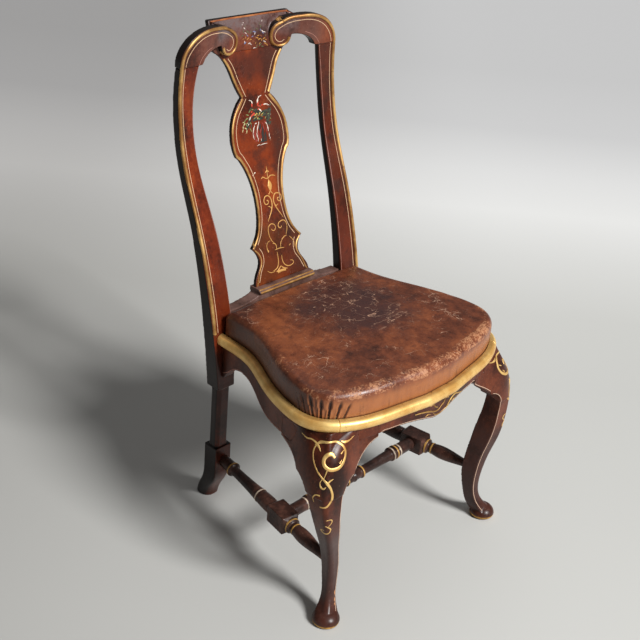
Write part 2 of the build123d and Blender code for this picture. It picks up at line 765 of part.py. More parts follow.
def cover_tacks():
    """Tacks that hold the leather's return under the slip frame, inside the rails."""
    under = rail_top
    inset = cover_return - 2 * tack_head_radius
    path = plan_edge(lipping_deep + seat_gap + inset)
    tacks = []
    for share in (0.12, 0.24, 0.36, 0.48, 0.74, 0.86):
        for side in (1, -1):
            at = path @ share
            place = Pos(side * at.X, at.Y, under)
            head = place * Pos(0, 0, -tack_head_high / 2) * Cylinder(tack_head_radius, tack_head_high)
            shank = place * Pos(0, 0, tack_shank_long / 2) * Cylinder(tack_shank_radius, tack_shank_long)
            tacks += (head + shank).solids()
    return Compound(tacks)


# ---- Assembly ----------------------------------------------------------------------------------

def crest_tenon(gap=0.0):
    """Tenon on top of the right post that enters the crest."""
    top_x = (post_outer[-1][1] + post_inner[-1][1]) / 2
    top_y = post_front[-1][1] + post_depth[-1] / 2
    half_wide, half_thick = crest_tenon_wide / 2 + gap, tenon_thick / 2 + gap
    return box_between(
        (top_x - half_wide, top_y - half_thick, post_top - 1),
        (top_x + half_wide, top_y + half_thick, post_top + crest_tenon_long + gap))


def crest_body():
    """Crest rail: two shoulder arms ending in volutes, proud of the rolled centre panel."""
    front_y = post_front[-1][1]
    arm = shoulder_arm(front_y - 5, front_y + crest_bow + arm_thick + 5)
    arms = (arm + mirror(arm, Plane.YZ)) & bowed_slab(front_y)
    above_posts = box_between((-300, 400, post_top), (300, 700, panel_top + 1))
    return (arms & above_posts) + crest_panel()


def lipping_pins():
    """Pins that fasten the lipping down to the rails."""
    path = plan_edge(lipping_deep - 3)
    top = rail_top + lipping_above_rail
    pins = []
    for share in (0.07, 0.2, 0.33, 0.46, 0.7, 0.84, 0.96):
        for side in (1, -1):
            at = path @ share
            pins.append(Pos(side * at.X, at.Y, top - pin_long / 2) * Cylinder(pin_radius, pin_long))
    return Compound(pins)


def in_pairs(nodes, name, right):
    """Store a right-hand piece and its mirror image."""
    nodes[name + "_right"] = right
    nodes[name + "_left"] = mirror(right, Plane.YZ)


def less(body, *cutters):
    """The body less each cutter in turn."""
    for cutter in cutters:
        body = body - cutter
    return body


def back_pieces(nodes):
    """Posts, crest, splat, shoe and rear rail; returns the right post without its joints."""
    post = post_upright() + rear_leg()
    base = splat_runs[0][0]
    low_mortise = splat_tenon_at(base, splat_front[0][1], -1, joint_gap)
    tenon_cut = crest_tenon(joint_gap)
    mortises = side_tenon(True, joint_gap), rear_rail_body(joint_gap), side_stretcher_tenons(joint_gap)
    post_cut = less(post, *mortises)
    in_pairs(nodes, "rear_post", post_cut + crest_tenon())
    nodes["splat"] = splat_body()
    head = splat_runs[-1][-1]
    high_mortise = splat_tenon_at(head, splat_front[-1][1], 1, joint_gap)
    nodes["crest_rail"] = less(crest_body(), tenon_cut, mirror(tenon_cut, Plane.YZ), high_mortise, nodes["splat"])
    between = less(shoe_body(), post_outline(), mirror(post_outline(), Plane.YZ))
    nodes["splat_shoe"] = less(between, post, mirror(post, Plane.YZ), low_mortise)
    nodes["rear_seat_rail"] = rear_rail_body()
    return post


def frame_pieces(nodes, post):
    """Front legs, rails, knee brackets, lipping and its pins."""
    knee = knee_form()
    at_leg = box_between((knee_split_x, -100, 0), (400, knee_split_y, rail_top))
    at_front = box_between((0, -100, 0), (knee_split_x, knee_split_y, rail_top))
    at_side = box_between((knee_split_x, knee_split_y, 0), (400, 300, rail_top))
    pins = lipping_pins()
    lipping_side = less(lipping_run(0, lipping_mitre), post)
    lipping_front = lipping_run(lipping_mitre, 1)
    lipping_front = lipping_front + mirror(lipping_front, Plane.YZ)
    leg = less(front_leg_body() + (knee & at_leg), lipping_side, lipping_front)
    side_rail = (rail_ring(side_rail_heel, rail_top) & side_rail_outline()) - post
    side_rail = less(side_rail + side_tenon(True) + side_tenon(False), lipping_side)
    front_rail = less(front_rail_body(), lipping_front)
    leg_cut = less(leg, front_tenon(joint_gap), side_tenon(False, joint_gap), side_stretcher_tenons(joint_gap))
    in_pairs(nodes, "front_leg", leg_cut - pins)
    in_pairs(nodes, "side_rail", side_rail - pins)
    nodes["front_rail"] = front_rail - pins
    in_pairs(nodes, "knee_bracket_front", less(knee & at_front, leg, front_rail))
    in_pairs(nodes, "knee_bracket_side", less(knee & at_side, leg, side_rail))
    in_pairs(nodes, "seat_moulding", lipping_side - pins)
    nodes["seat_moulding_front"] = lipping_front - pins
    nodes["moulding_pins"] = pins


def stretcher_pieces(nodes):
    """The H of turned stretchers."""
    side = side_stretcher_body() - cross_half(joint_gap)
    cross = cross_half() - side
    side = less(side, nodes["rear_post_right"], nodes["front_leg_right"])
    in_pairs(nodes, "side_stretcher", side)
    nodes["cross_stretcher"] = cross + mirror(cross, Plane.YZ)


def seat_pieces(nodes):
    """The drop-in seat: slip frame, webbing, cloth, stuffing, leather and tacks."""
    front_y, rear_y = slip_limits()
    inner_x = slip_inner_x()
    tacks = cover_tacks()
    tenons = slip_tenon(True, joint_gap) + slip_tenon(False, joint_gap)
    both = tenons + mirror(tenons, Plane.YZ)
    nodes["slip_frame_front"] = less(slip_member((-400, -100), (400, front_y)), both, tacks)
    nodes["slip_frame_rear"] = less(slip_member((-400, rear_y), (400, 500)), both, tacks)
    side = slip_member((inner_x, front_y), (400, rear_y)) - tacks
    in_pairs(nodes, "slip_frame", side + slip_tenon(True) + slip_tenon(False))
    nodes["webbing_crosswise"] = webbing(False)
    nodes["webbing_lengthwise"] = webbing(True)
    cloth_low = rail_top + leather_thick + slip_high + 2 * web_thick
    nodes["base_cloth"] = seat_prism(leather_thick + 6, cloth_low, cloth_low + web_thick)
    stuffing_low = cloth_low + web_thick
    whole = cushion_form(leather_thick, rail_top + leather_thick)
    nodes["stuffing"] = whole & box_between((-400, -100, stuffing_low), (400, 500, cushion_crown + 1))
    nodes["leather_cover"] = leather_cover() - tacks
    nodes["cover_tacks"] = tacks


nodes = {}
post = back_pieces(nodes)
frame_pieces(nodes, post)
stretcher_pieces(nodes)
seat_pieces(nodes)

whole_box = Compound([node for node in nodes.values()]).bounding_box()
centring = Pos(0, -(whole_box.min.Y + whole_box.max.Y) / 2, -whole_box.min.Z)
for name, node in nodes.items():
    export_step(centring * node, f"parts/{name}.step")
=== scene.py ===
import bpy
import numpy as np
from math import cos, pi, radians, sin
from mathutils import Matrix, Vector, noise
from mathutils.bvhtree import BVHTree


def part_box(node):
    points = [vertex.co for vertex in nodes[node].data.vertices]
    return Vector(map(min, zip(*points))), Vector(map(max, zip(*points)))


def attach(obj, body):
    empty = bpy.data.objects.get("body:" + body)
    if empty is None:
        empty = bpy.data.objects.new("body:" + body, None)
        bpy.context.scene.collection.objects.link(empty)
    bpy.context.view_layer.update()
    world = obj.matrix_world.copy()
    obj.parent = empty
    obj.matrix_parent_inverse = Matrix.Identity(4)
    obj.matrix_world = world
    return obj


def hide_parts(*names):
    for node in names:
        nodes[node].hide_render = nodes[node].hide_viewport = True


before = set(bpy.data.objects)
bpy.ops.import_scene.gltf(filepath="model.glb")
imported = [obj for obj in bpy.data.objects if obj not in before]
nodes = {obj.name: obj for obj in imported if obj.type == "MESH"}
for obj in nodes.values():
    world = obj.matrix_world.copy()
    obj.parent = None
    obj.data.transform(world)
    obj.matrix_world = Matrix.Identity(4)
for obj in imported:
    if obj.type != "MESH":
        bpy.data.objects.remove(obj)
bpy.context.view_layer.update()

# ---- The room ----------------------------------------------------------------------------------
# A pale grey studio floor that runs out of sight, painted with light and shade: brighter in a band
# far off and darker towards the left. One large soft lamp far in front of the chair, a weak one
# overhead, and an even pale world. The viewer stands at the chair's front left, above the seat.

def colour(red, green, blue):
    """Linear colour with full alpha from the usual 0 to 255 values."""
    linear = []
    for part in (red / 255, green / 255, blue / 255):
        linear.append(part / 12.92 if part <= 0.04045 else ((part + 0.055) / 1.055) ** 2.4)
    return (*linear, 1.0)


class Tone:
    """A value in a finish, wrapped so that sums on it read as plain arithmetic."""

    def __init__(self, tree, socket):
        self.tree, self.socket = tree, socket

    def node(self, kind, settings, inputs, output=0):
        """Any node: its settings first, then the values or tones of its sockets."""
        made = self.tree.nodes.new(kind)
        for name, value in settings.items():
            if name != "stops":
                setattr(made, name, value)
                continue
            while len(made.color_ramp.elements) < len(value):
                made.color_ramp.elements.new(0.5)
            for stop, (place, shade) in zip(made.color_ramp.elements, value):
                stop.position, stop.color = place, shade
        for name, value in inputs.items():
            if isinstance(value, Tone):
                self.tree.links.new(value.socket, made.inputs[name])
            else:
                made.inputs[name].default_value = value
        return Tone(self.tree, made.outputs[output])

    def sum_of(self, operation, first, second=0.0):
        return self.node("ShaderNodeMath", {"operation": operation}, {0: first, 1: second})

    def __add__(self, other):
        return self.sum_of("ADD", self, other)

    def __sub__(self, other):
        return self.sum_of("SUBTRACT", self, other)

    def __rsub__(self, other):
        return self.sum_of("SUBTRACT", other, self)

    def __mul__(self, other):
        return self.sum_of("MULTIPLY", self, other)

    def __truediv__(self, other):
        return self.sum_of("DIVIDE", self, other)

    __radd__ = __add__
    __rmul__ = __mul__

    def lesser(self, other):
        return self.sum_of("MINIMUM", self, other)

    def greater(self, other):
        return self.sum_of("MAXIMUM", self, other)

    def size(self):
        return self.sum_of("ABSOLUTE", self)

    def step(self, low, high):
        """0 below low, 1 above high, smooth between."""
        return self.node("ShaderNodeMapRange", {"interpolation_type": "SMOOTHSTEP"},
                         {"Value": self, "From Min": low, "From Max": high})

    def between(self, low, high):
        """Mix of two colours, each plain or a tone, by this value."""
        return self.node("ShaderNodeMix", {"data_type": "RGBA"}, {0: self, 6: low, 7: high}, 2)

    def parts(self):
        """The x, y and z of a vector tone."""
        return [self.node("ShaderNodeSeparateXYZ", {}, {0: self}, i) for i in range(3)]

    def cloud(self, scale, detail=4.0, rough=0.55, stretch=(1, 1, 1)):
        """Soft noise on this place, about 0.5 on average."""
        place = self.node("ShaderNodeMapping", {}, {"Vector": self, "Scale": stretch})
        return place.node("ShaderNodeTexNoise", {},
                          {"Vector": place, "Scale": scale, "Detail": detail, "Roughness": rough})

    def cells(self, scale):
        """Cell pattern on this place: distance to the nearest crack."""
        return self.node("ShaderNodeTexVoronoi", {"feature": "DISTANCE_TO_EDGE"},
                         {"Vector": self, "Scale": scale})

    def ramp(self, stops):
        """Colour by this value; each stop is a value and a shade."""
        return self.node("ShaderNodeValToRGB",
                         {"stops": [(place, colour(*shade)) for place, shade in stops]}, {0: self})


def new_finish(name):
    """A material with its shader and the place of each point on the object."""
    material = bpy.data.materials.new(name)
    material.use_nodes = True
    tree = material.node_tree
    shader = tree.nodes["Principled BSDF"]
    place = Tone(tree, tree.nodes.new("ShaderNodeTexCoord").outputs["Object"])
    return material, shader, place


def feed(shader, **tones):
    """Link tones to the shader's sockets; underscores stand for spaces."""
    for name, tone in tones.items():
        tone.tree.links.new(tone.socket, shader.inputs[name.replace("_", " ")])


viewer = Vector((-1.441, -1.241, 1.496))
heading, dip, lean = radians(48.48), radians(28.81), radians(5.55)
ahead = Vector((sin(heading) * cos(dip), cos(heading) * cos(dip), -sin(dip)))
level = Vector((cos(heading), -sin(heading), 0))
upright = level.cross(ahead)
across = cos(lean) * level + sin(lean) * upright
upward = -sin(lean) * level + cos(lean) * upright
eye = bpy.data.cameras.new("eye")
eye.lens = 60.58
eye.sensor_width = 36
eye.clip_end = 120
eye_object = bpy.data.objects.new("eye", eye)
bpy.context.scene.collection.objects.link(eye_object)
turn = Matrix((across, upward, -ahead)).transposed()
eye_object.matrix_world = Matrix.Translation(viewer) @ turn.to_4x4()
bpy.context.scene.camera = eye_object

bpy.ops.object.select_all(action="DESELECT")
floor_size = 160
bpy.ops.mesh.primitive_plane_add(size=floor_size)
floor = bpy.context.active_object
floor.name = "floor"
floor_paint, floor_shader, place = new_finish("studio_floor")
x, y = place.parts()[:2]
away = (x - viewer.x) * sin(heading) + (y - viewer.y) * cos(heading)
aside = (x - viewer.x) * cos(heading) - (y - viewer.y) * sin(heading)
# Painted light and shade on the floor: brighter in a band about 3.7 m off, and painted falloff to
# shade towards the left.
painted_light_reach = 8             # metres from the viewer at which the list of shades ends
painted_light_shades = [(1.52, (206, 206, 202)), (2.00, (201, 201, 197)), (2.48, (197, 197, 193)),
                (2.88, (199, 199, 195)), (3.28, (211, 211, 208)), (3.68, (225, 225, 223)),
                (4.08, (217, 217, 216)), (4.64, (199, 199, 199)), (5.60, (192, 192, 192))]
painted_light_floor = (away / painted_light_reach).ramp([(far / painted_light_reach, shade) for far, shade in painted_light_shades])
painted_falloff_left = (0.58, 0.57, 0.565, 1)
painted_falloff = aside.step(-1.1, 0.7).between(painted_falloff_left, (1, 1, 1, 1))
feed(floor_shader, Base_Color=painted_light_floor.node(
    "ShaderNodeMix", {"data_type": "RGBA", "blend_type": "MULTIPLY"},
    {0: 1.0, 6: painted_light_floor, 7: painted_falloff}, 2))
floor_shader.inputs["Roughness"].default_value = 0.75
floor.data.materials.append(floor_paint)

for name, toward_lamp, width, strength in (
        ("key_lamp", (0.10, -0.76, 0.64), 17, 4.35),
        ("top_lamp", (0.25, 0.15, 0.95), 60, 0.35)):
    bpy.ops.object.light_add(type="SUN", location=Vector(toward_lamp) * 6)
    lamp = bpy.context.active_object
    lamp.name = name
    lamp.data.angle = radians(width)
    lamp.data.energy = strength
    lamp.rotation_euler = Vector(toward_lamp).to_track_quat("Z", "Y").to_euler()

world = bpy.data.worlds.new("pale_room")
bpy.context.scene.world = world
world.use_nodes = True
room_light, horizon_light = 0.12, 0.45
sky = world.node_tree.nodes["Background"]
sky.inputs["Color"].default_value = (1, 1, 1, 1)
seen = Tone(world.node_tree,
            world.node_tree.nodes.new("ShaderNodeLightPath").outputs["Is Camera Ray"])
world.node_tree.links.new((seen * horizon_light + room_light).socket, sky.inputs["Strength"])
bpy.context.scene.view_settings.view_transform = "Standard"

# ---- Rear posts --------------------------------------------------------------------------------
# Each post and rear leg is one piece of beech, sawn to an S, japanned a mottled red-brown and
# varnished. A half-round bead along the outer front edge is gilt, and the arrises are rubbed.

def bumped(tone, strength, depth):
    """Surface relief from a tone."""
    return tone.node("ShaderNodeBump", {},
                     {"Height": tone, "Strength": strength, "Distance": depth})


def worn_edge(place):
    """1 on sharp convex arrises, broken up by noise."""
    point = place.node("ShaderNodeNewGeometry", {}, {}, "Pointiness")
    return (point + place.cloud(90, 6) * 0.06).step(0.58, 0.65)


def clouded_ground(place, dark, mid, bright):
    """Broad clouds, soft upright streaks left by the brush and a little grain."""
    broad = place.cloud(7, 4, 0.55)
    streak = place.cloud(30, 5, 0.6, stretch=(1, 1, 0.35))
    fine = place.cloud(150, 4, 0.6)
    blend = broad * 0.48 + streak * 0.34 + fine * 0.18
    return blend.ramp([(0.41, dark), (0.51, mid), (0.60, bright)]), broad, fine


def edge_sides(place, ground, black=(26, 17, 14)):
    """The sawn sides of a board, darkened to near black by the way they face; the faces seen from
    the front keep their ground.
    """
    facing = place.node("ShaderNodeNewGeometry", {}, {}, "Normal").parts()[1].size()
    return (1 - facing.step(0.45, 0.75)).between(ground, colour(*black))


def aged(name, dark=(54, 20, 9), mid=(106, 40, 15), bright=(144, 64, 25), side=False, tints=()):
    """Old surface, by default red-brown japan: grime in clouds, rubbed arrises, flecks and fine
    cracks under a dull varnish. Each tint is a mask, a share and a shade."""
    material, shader, place = new_finish(name)
    ground, broad, fine = clouded_ground(place, dark, mid, bright)
    for mask, share, shade in tints:
        here = mask(place) * share * (broad * 1.2 + fine * 0.5).step(0.5, 1.1)
        ground = here.between(ground, colour(*shade))
    grime = place.cloud(15, 7, 0.68).step(0.52, 0.66) * 0.6
    ground = grime.between(ground, colour(40, 21, 15))
    rubbed = worn_edge(place) * 0.6
    ground = rubbed.between(ground, colour(152, 98, 62))
    flecks = place.cloud(330, 2, 0.5).step(0.70, 0.75) * 0.45
    ground = flecks.between(ground, colour(176, 132, 100))
    cracks = 1 - place.cells(210).step(0.0, 0.05)
    relief = broad * 0.3 + fine * 0.25 - cracks * place.cloud(18).step(0.45, 0.7) * 0.5
    rough = fine * 0.2 + grime * 0.15 + 0.24
    if side:
        ground = edge_sides(place, ground)
    shader.inputs["Specular IOR Level"].default_value = 0.22
    shader.inputs["Coat Roughness"].default_value = 0.22
    shader.inputs["Coat Weight"].default_value = 0.08
    feed(shader, Base_Color=ground, Roughness=rough, Normal=bumped(relief, 0.5, 0.0006))
    return material


def height_band(low, high, soft=0.02):
    """Mask between two heights, soft and wavering at its ends."""
    def mask(place):
        up = place.parts()[2] + (place.cloud(24, 4) - 0.5) * soft * 2
        return up.step(low - soft, low + soft) * (1 - up.step(high - soft, high + soft))
    return mask


def gilded(name, pale, deep, worn=0.5, metal=0.6, shine=0.34, tints=()):
    """Old oil gilding over yellow ground, dulled, with bare brown spots along the edges, and the
    same brown painted in the hollows as shade.
    """
    material, shader, place = new_finish(name)
    tone = place.cloud(16, 5, 0.55)
    gold = (tone * 0.7 + place.cloud(60, 4) * 0.3).step(0.36, 0.66).between(
        colour(*deep), colour(*pale))
    spots = place.cloud(95, 7, 0.7).step(0.61, 0.68) * worn
    point = place.node("ShaderNodeNewGeometry", {}, {}, "Pointiness")
    # Painted shade: the hollows take the brown of the bare spots and lose their shine.
    hollow_shade = 1 - point.step(0.42, 0.5)
    loss_and_hollow_shade = spots.greater(hollow_shade * 0.7)
    gold = loss_and_hollow_shade.between(gold, colour(96, 56, 30))
    for mask, share, shade in tints:
        gold = (mask(place) * share).between(gold, colour(*shade))
    feed(shader, Base_Color=gold, Roughness=tone * 0.2 + shine + loss_and_hollow_shade * 0.2,
         Metallic=metal - loss_and_hollow_shade * metal * 0.9, Normal=bumped(place.cloud(260, 3), 0.25, 0.0004))
    return material


def to_hand(source):
    """Make one object the only one selected, and active."""
    bpy.ops.object.select_all(action="DESELECT")
    source.select_set(True)
    bpy.context.view_layer.objects.active = source
    return source


def finished_by(piece, kind, **settings):
    """Add a modifier with its settings and apply it."""
    modifier = to_hand(piece).modifiers.new(kind.lower(), kind)
    for name, value in settings.items():
        setattr(modifier, name, value)
    bpy.ops.object.modifier_apply(modifier=modifier.name)


def carved(node, name, finish, fineness=0.0014, glued_on=()):
    """A piece cut like its solid, with what is glued on faired in and the arrises eased by hand and
    wear."""
    copies = [bpy.data.objects.new(name, nodes[solid].data.copy()) for solid in (*glued_on, node)]
    bpy.ops.object.select_all(action="DESELECT")
    for piece in copies:
        bpy.context.scene.collection.objects.link(piece)
        piece.select_set(True)
    bpy.context.view_layer.objects.active = piece
    if glued_on:
        bpy.ops.object.join()
    piece.data.materials.clear()
    piece.data.materials.append(finish)
    bpy.ops.object.mode_set(mode="EDIT")
    bpy.ops.mesh.select_all(action="SELECT")
    bpy.ops.mesh.customdata_custom_splitnormals_clear()
    bpy.ops.mesh.remove_doubles(threshold=0.00002)
    bpy.ops.object.mode_set(mode="OBJECT")
    finished_by(piece, "REMESH", mode="VOXEL", voxel_size=fineness)
    finished_by(piece, "SMOOTH", factor=0.5, iterations=4)
    finished_by(piece, "DECIMATE", ratio=0.5)
    bpy.ops.object.shade_smooth()
    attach(piece, "frame")
    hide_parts(node, *glued_on)
    return piece


def surface_of(*pieces):
    """Everything that brushwork may be laid on, as one surface."""
    points, faces = [], []
    for piece in pieces:
        start = len(points)
        points += [vertex.co for vertex in piece.data.vertices]
        faces += [[start + index for index in face.vertices] for face in piece.data.polygons]
    return BVHTree.FromPolygons(points, faces)


stand_off = 0.6             # metres from the middle of the chair to where strokes are cast from


def from_front(across, up):
    """Place in front of the chair, and the way in, for a stroke on a face seen from the front."""
    return Vector((across, -stand_off, up)), Vector((0, 1, 0))


def brushwork(name, finish, lines, onto, place=from_front, proud=0.35,
              mirrored=False):
    """Strokes laid on a surface; each line is (across, up, width) points in millimetres."""
    bpy.ops.object.select_all(action="DESELECT")
    tip_radius = 0.0005         # a tip 1 mm across, so that a point's radius is its width
    bpy.ops.curve.primitive_bezier_circle_add(radius=tip_radius)
    tip = bpy.context.active_object
    tip.data.resolution_u = 3
    paths = bpy.data.curves.new(name, "CURVE")
    paths.dimensions = "2D"
    paths.resolution_u = 10
    paths.bevel_mode = "OBJECT"
    paths.bevel_object = tip
    paths.use_fill_caps = True
    paths.twist_smooth = 4
    if mirrored:
        lines = lines + [[(-across, up, wide) for across, up, wide in line] for line in lines]
    for line in lines:
        spline = paths.splines.new("BEZIER")
        spline.bezier_points.add(len(line) - 1)
        for point, (across, up, wide) in zip(spline.bezier_points, line):
            point.co = (across / 1000, up / 1000, 0)
            point.radius = wide
            point.handle_left_type = point.handle_right_type = "AUTO"
    piece = bpy.data.objects.new(name, paths)
    bpy.context.scene.collection.objects.link(piece)
    to_hand(piece)
    bpy.ops.object.convert(target="MESH")
    piece = bpy.context.active_object
    bpy.data.objects.remove(tip)
    depth, gap = 0.9, 0.0001    # a point that misses the surface goes as deep as the one before
    for vertex in piece.data.vertices:
        start, inward = place(vertex.co.x, vertex.co.y)
        hit = onto.ray_cast(start, inward)[0]
        if hit is None:
            hit = onto.find_nearest(start + inward * depth)[0]
        depth = (hit - start).dot(inward)
        vertex.co = hit - inward * (vertex.co.z * proud + gap)
    piece.data.materials.clear()
    piece.data.materials.append(finish)
    bpy.ops.object.mode_set(mode="EDIT")
    bpy.ops.mesh.select_all(action="SELECT")
    bpy.ops.mesh.normals_make_consistent(inside=False)
    bpy.ops.object.mode_set(mode="OBJECT")
    bpy.ops.object.shade_smooth()
    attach(piece, "frame")


def line_paint(name, shade, rough=0.5, metal=0.0, worn=0.35):
    """Paint of one colour, thin and rubbed through in places to the brown under it."""
    material, shader, place = new_finish(name)
    thin = place.cloud(160, 5, 0.65).step(0.56, 0.66) * worn
    body = place.cloud(60, 3)
    paint = (body * 0.5).between(colour(*shade), colour(*[part * 0.72 for part in shade]))
    paint = thin.between(paint, colour(84, 48, 30))
    feed(shader, Base_Color=paint, Roughness=body * 0.2 + rough - 0.1,
         Metallic=metal - thin * metal, Normal=bumped(body, 0.3, 0.0004))
    return material


def streaks_inside(place):
    """Mask for the darker inner half of a post's face."""
    return 1 - place.parts()[0].size().step(0.170, 0.196)


def shaded_right_half(place):
    """Mask for the right half of the chair, painted darker as shade."""
    return place.parts()[0].step(0.0, 0.05)


# The right half of the posts is painted darker as shade.
post_japan = aged(
    "post_japan", dark=(56, 20, 9), mid=(112, 40, 14), bright=(148, 64, 24), side=True, tints=[
        (streaks_inside, 0.6, (74, 26, 12)), (height_band(0.42, 0.56), 0.6, (84, 32, 15)),
        (shaded_right_half, 0.9, (70, 29, 15)), (height_band(-0.1, 0.40, 0.03), 1.2, (52, 28, 21))])
edge_gold = gilded("edge_gold", pale=(214, 170, 104), deep=(150, 102, 52), worn=0.7)
cream = line_paint("cream_line", (222, 184, 146), worn=0.55)
posts = [carved("rear_post_" + side, "post_" + side, post_japan) for side in ("left", "right")]

# ---- Crest rail --------------------------------------------------------------------------------
# The crest is sawn from one board: a shoulder arm over each post that curls down into a volute,
# and a centre panel that rolls back at the top, painted violet-grey with a spray of flowers.

def panel_face(place):
    """Mask for the upper part of the panel, painted violet-grey."""
    x, _, z = place.parts()
    middle = 1 - x.size().step(0.098, 0.112)
    return middle * (z + (place.cloud(20, 5, 0.6) - 0.5) * 0.03).step(0.950, 0.984)


def arm_sheen(place):
    """Mask for the arms beside the panel, painted greyer than the posts: a painted reflection of
    the light above.
    """
    x, _, z = place.parts()
    return x.size().step(0.060, 0.110) * (1 - x.size().step(0.140, 0.185)) * z.step(0.925, 0.945)


# The arms beside the panel are painted greyer, a painted reflection of the light above.
crest_japan = aged(
    "crest_japan", dark=(58, 24, 14), mid=(98, 44, 26), bright=(128, 66, 40), side=True,
    tints=[(arm_sheen, 0.9, (96, 64, 56)), (panel_face, 1.6, (104, 86, 84))])
crest = carved("crest_rail", "crest", crest_japan)
back = surface_of(crest, *posts)

# Half of each bead and line, as places across and up in millimetres; the other half mirrors it.
edge_line = [(207, 436), (207, 540), (207, 640), (206.5, 740), (205, 840), (201, 915), (197, 948),
             (184, 968), (163, 983), (136, 990), (109, 990), (84, 987), (64, 979), (48, 966),
             (46, 950), (54, 937), (68, 934), (81, 939), (87, 950)]
brushwork("edge_bead", edge_gold, [[(x, z, 8 if z < 930 else 6.5) for x, z in edge_line]], back,
          proud=0.8, mirrored=True)
inner_line = [(198, 436), (198.5, 540), (199, 640), (198, 740), (197, 840), (193, 912), (189, 942),
              (177, 961), (158, 975), (134, 982), (109, 982), (88, 979), (70, 972), (57, 962),
              (55, 952), (61, 944), (69, 942), (76, 946)]
brushwork("edge_line", cream, [[(x, z, 1.3) for x, z in inner_line]], back,
          proud=0.15, mirrored=True)
rear_line = [(161, 436), (163.5, 540), (168, 640), (174, 740), (174, 840), (163, 915), (156, 936),
             (143, 950), (122, 959)]
rose_line = line_paint("rose_line", (176, 120, 104), worn=0.75)
brushwork("inner_line", rose_line, [[(x, z, 1.0) for x, z in rear_line]], back,
          proud=0.15, mirrored=True)
lip_gold = gilded("lip_gold", pale=(190, 120, 66), deep=(128, 62, 32), worn=0.6, metal=0.3)
panel_lip = [(-101, 995), (-60, 996), (0, 996), (60, 996), (101, 995)]
brushwork("panel_lip", lip_gold, [[(x, z, 3) for x, z in panel_lip]], back, proud=0.3)


def dabs(name, shade, marks, onto, worn=0.2, proud=0.12):
    """Short strokes of one colour. Each mark is where it is across and up, its length, its slope in
    degrees and its width, in millimetres."""
    bow, taper = 0.05, 0.35     # a stroke's rise in the middle and its width at the ends
    lines = []
    for across, up, long, slope, wide in marks:
        run, rise = cos(radians(slope)) * long, sin(radians(slope)) * long
        lines.append([(across - run / 2, up - rise / 2, wide * taper),
                      (across - bow * rise, up + bow * run, wide),
                      (across + run / 2, up + rise / 2, wide * taper)])
    brushwork(name, line_paint(name + "_paint", shade, worn=worn), lines, onto, proud=proud)


# A small spray of flowers, dabbed on with a pointed brush.
dabs("spray_ochre", (182, 128, 52), [
    (-14, 931, 9, 8, 2.4), (-7, 933, 6, -30, 2), (0, 930, 7, 20, 2.2), (-4, 928, 5, 80, 1.6),
    (-11, 927, 5, 60, 1.4), (12, 954, 7, -20, 2.6), (18, 951, 8, 15, 2.6), (24, 949, 5, 70, 2),
    (30, 951, 7, 30, 2.4), (35, 948, 5, -20, 2), (33, 941, 7, -35, 2.4), (38, 938, 6, -50, 2),
    (-12, 955, 8, 30, 2.2), (-5, 953, 6, -10, 2), (-18, 958, 5, 60, 1.6), (8, 945, 5, 60, 1.6),
    (19, 943, 6, 50, 2), (-24, 956, 5, 20, 1.4), (15, 958, 6, 10, 1.8)], back)
dabs("spray_white", (222, 206, 196), [
    (5, 935, 8, -12, 3), (10, 934, 4, 50, 1.6), (-9, 946, 7, 10, 2.2), (-5, 944, 5, -30, 1.6),
    (-21, 950, 4, 80, 2.4), (27, 965, 7, -40, 2.2), (32, 963, 6, -20, 1.8), (-19, 975, 5, -45, 2),
    (-23, 982, 3, 80, 1.2), (-20, 985, 3, 10, 1.2), (31, 945, 8, -25, 1.8), (-17, 966, 6, -35, 1.6),
    (7, 963, 5, 60, 2), (29, 984, 4, 60, 1.4)], back)
dabs("spray_blue", (112, 116, 150), [
    (6, 966, 9, -15, 3), (-20, 948, 6, 30, 4), (9, 930, 6, -20, 2.6), (28, 962, 6, -40, 2.4),
    (0, 958, 6, 20, 2), (22, 968, 5, 60, 2), (-13, 961, 5, -30, 2)], back)
dabs("spray_green", (86, 92, 58), [
    (-12, 968, 8, -35, 2.6), (-4, 966, 7, 40, 2.2), (20, 940, 9, 30, 2.6), (26, 936, 7, -20, 2.4),
    (24, 974, 7, 60, 2), (11, 938, 8, 70, 2), (-22, 970, 6, 70, 1.8), (13, 971, 6, -30, 1.8),
    (-26, 962, 6, 10, 1.8), (17, 932, 6, 10, 2), (35, 956, 6, 50, 1.6), (21, 980, 5, 70, 1.4),
    (-16, 979, 5, 60, 1.4)], back)
dabs("spray_brown", (120, 60, 30), [
    (1, 949, 8, -20, 4), (-14, 948, 7, 35, 3), (22, 957, 7, -35, 3), (8, 955, 6, 60, 3),
    (-6, 961, 5, 0, 2)], back)

# ---- Splat and shoe ----------------------------------------------------------------------------
# The vase-shaped splat is one thin curved board with a gilt edge bead. It stands in a shoe that
# sweeps up between the posts to a gilt ogee cap.

def shaded_right_third(place):
    """Mask for the right-hand third of the splat, painted darker as shade."""
    return place.parts()[0].step(0.012, 0.045)


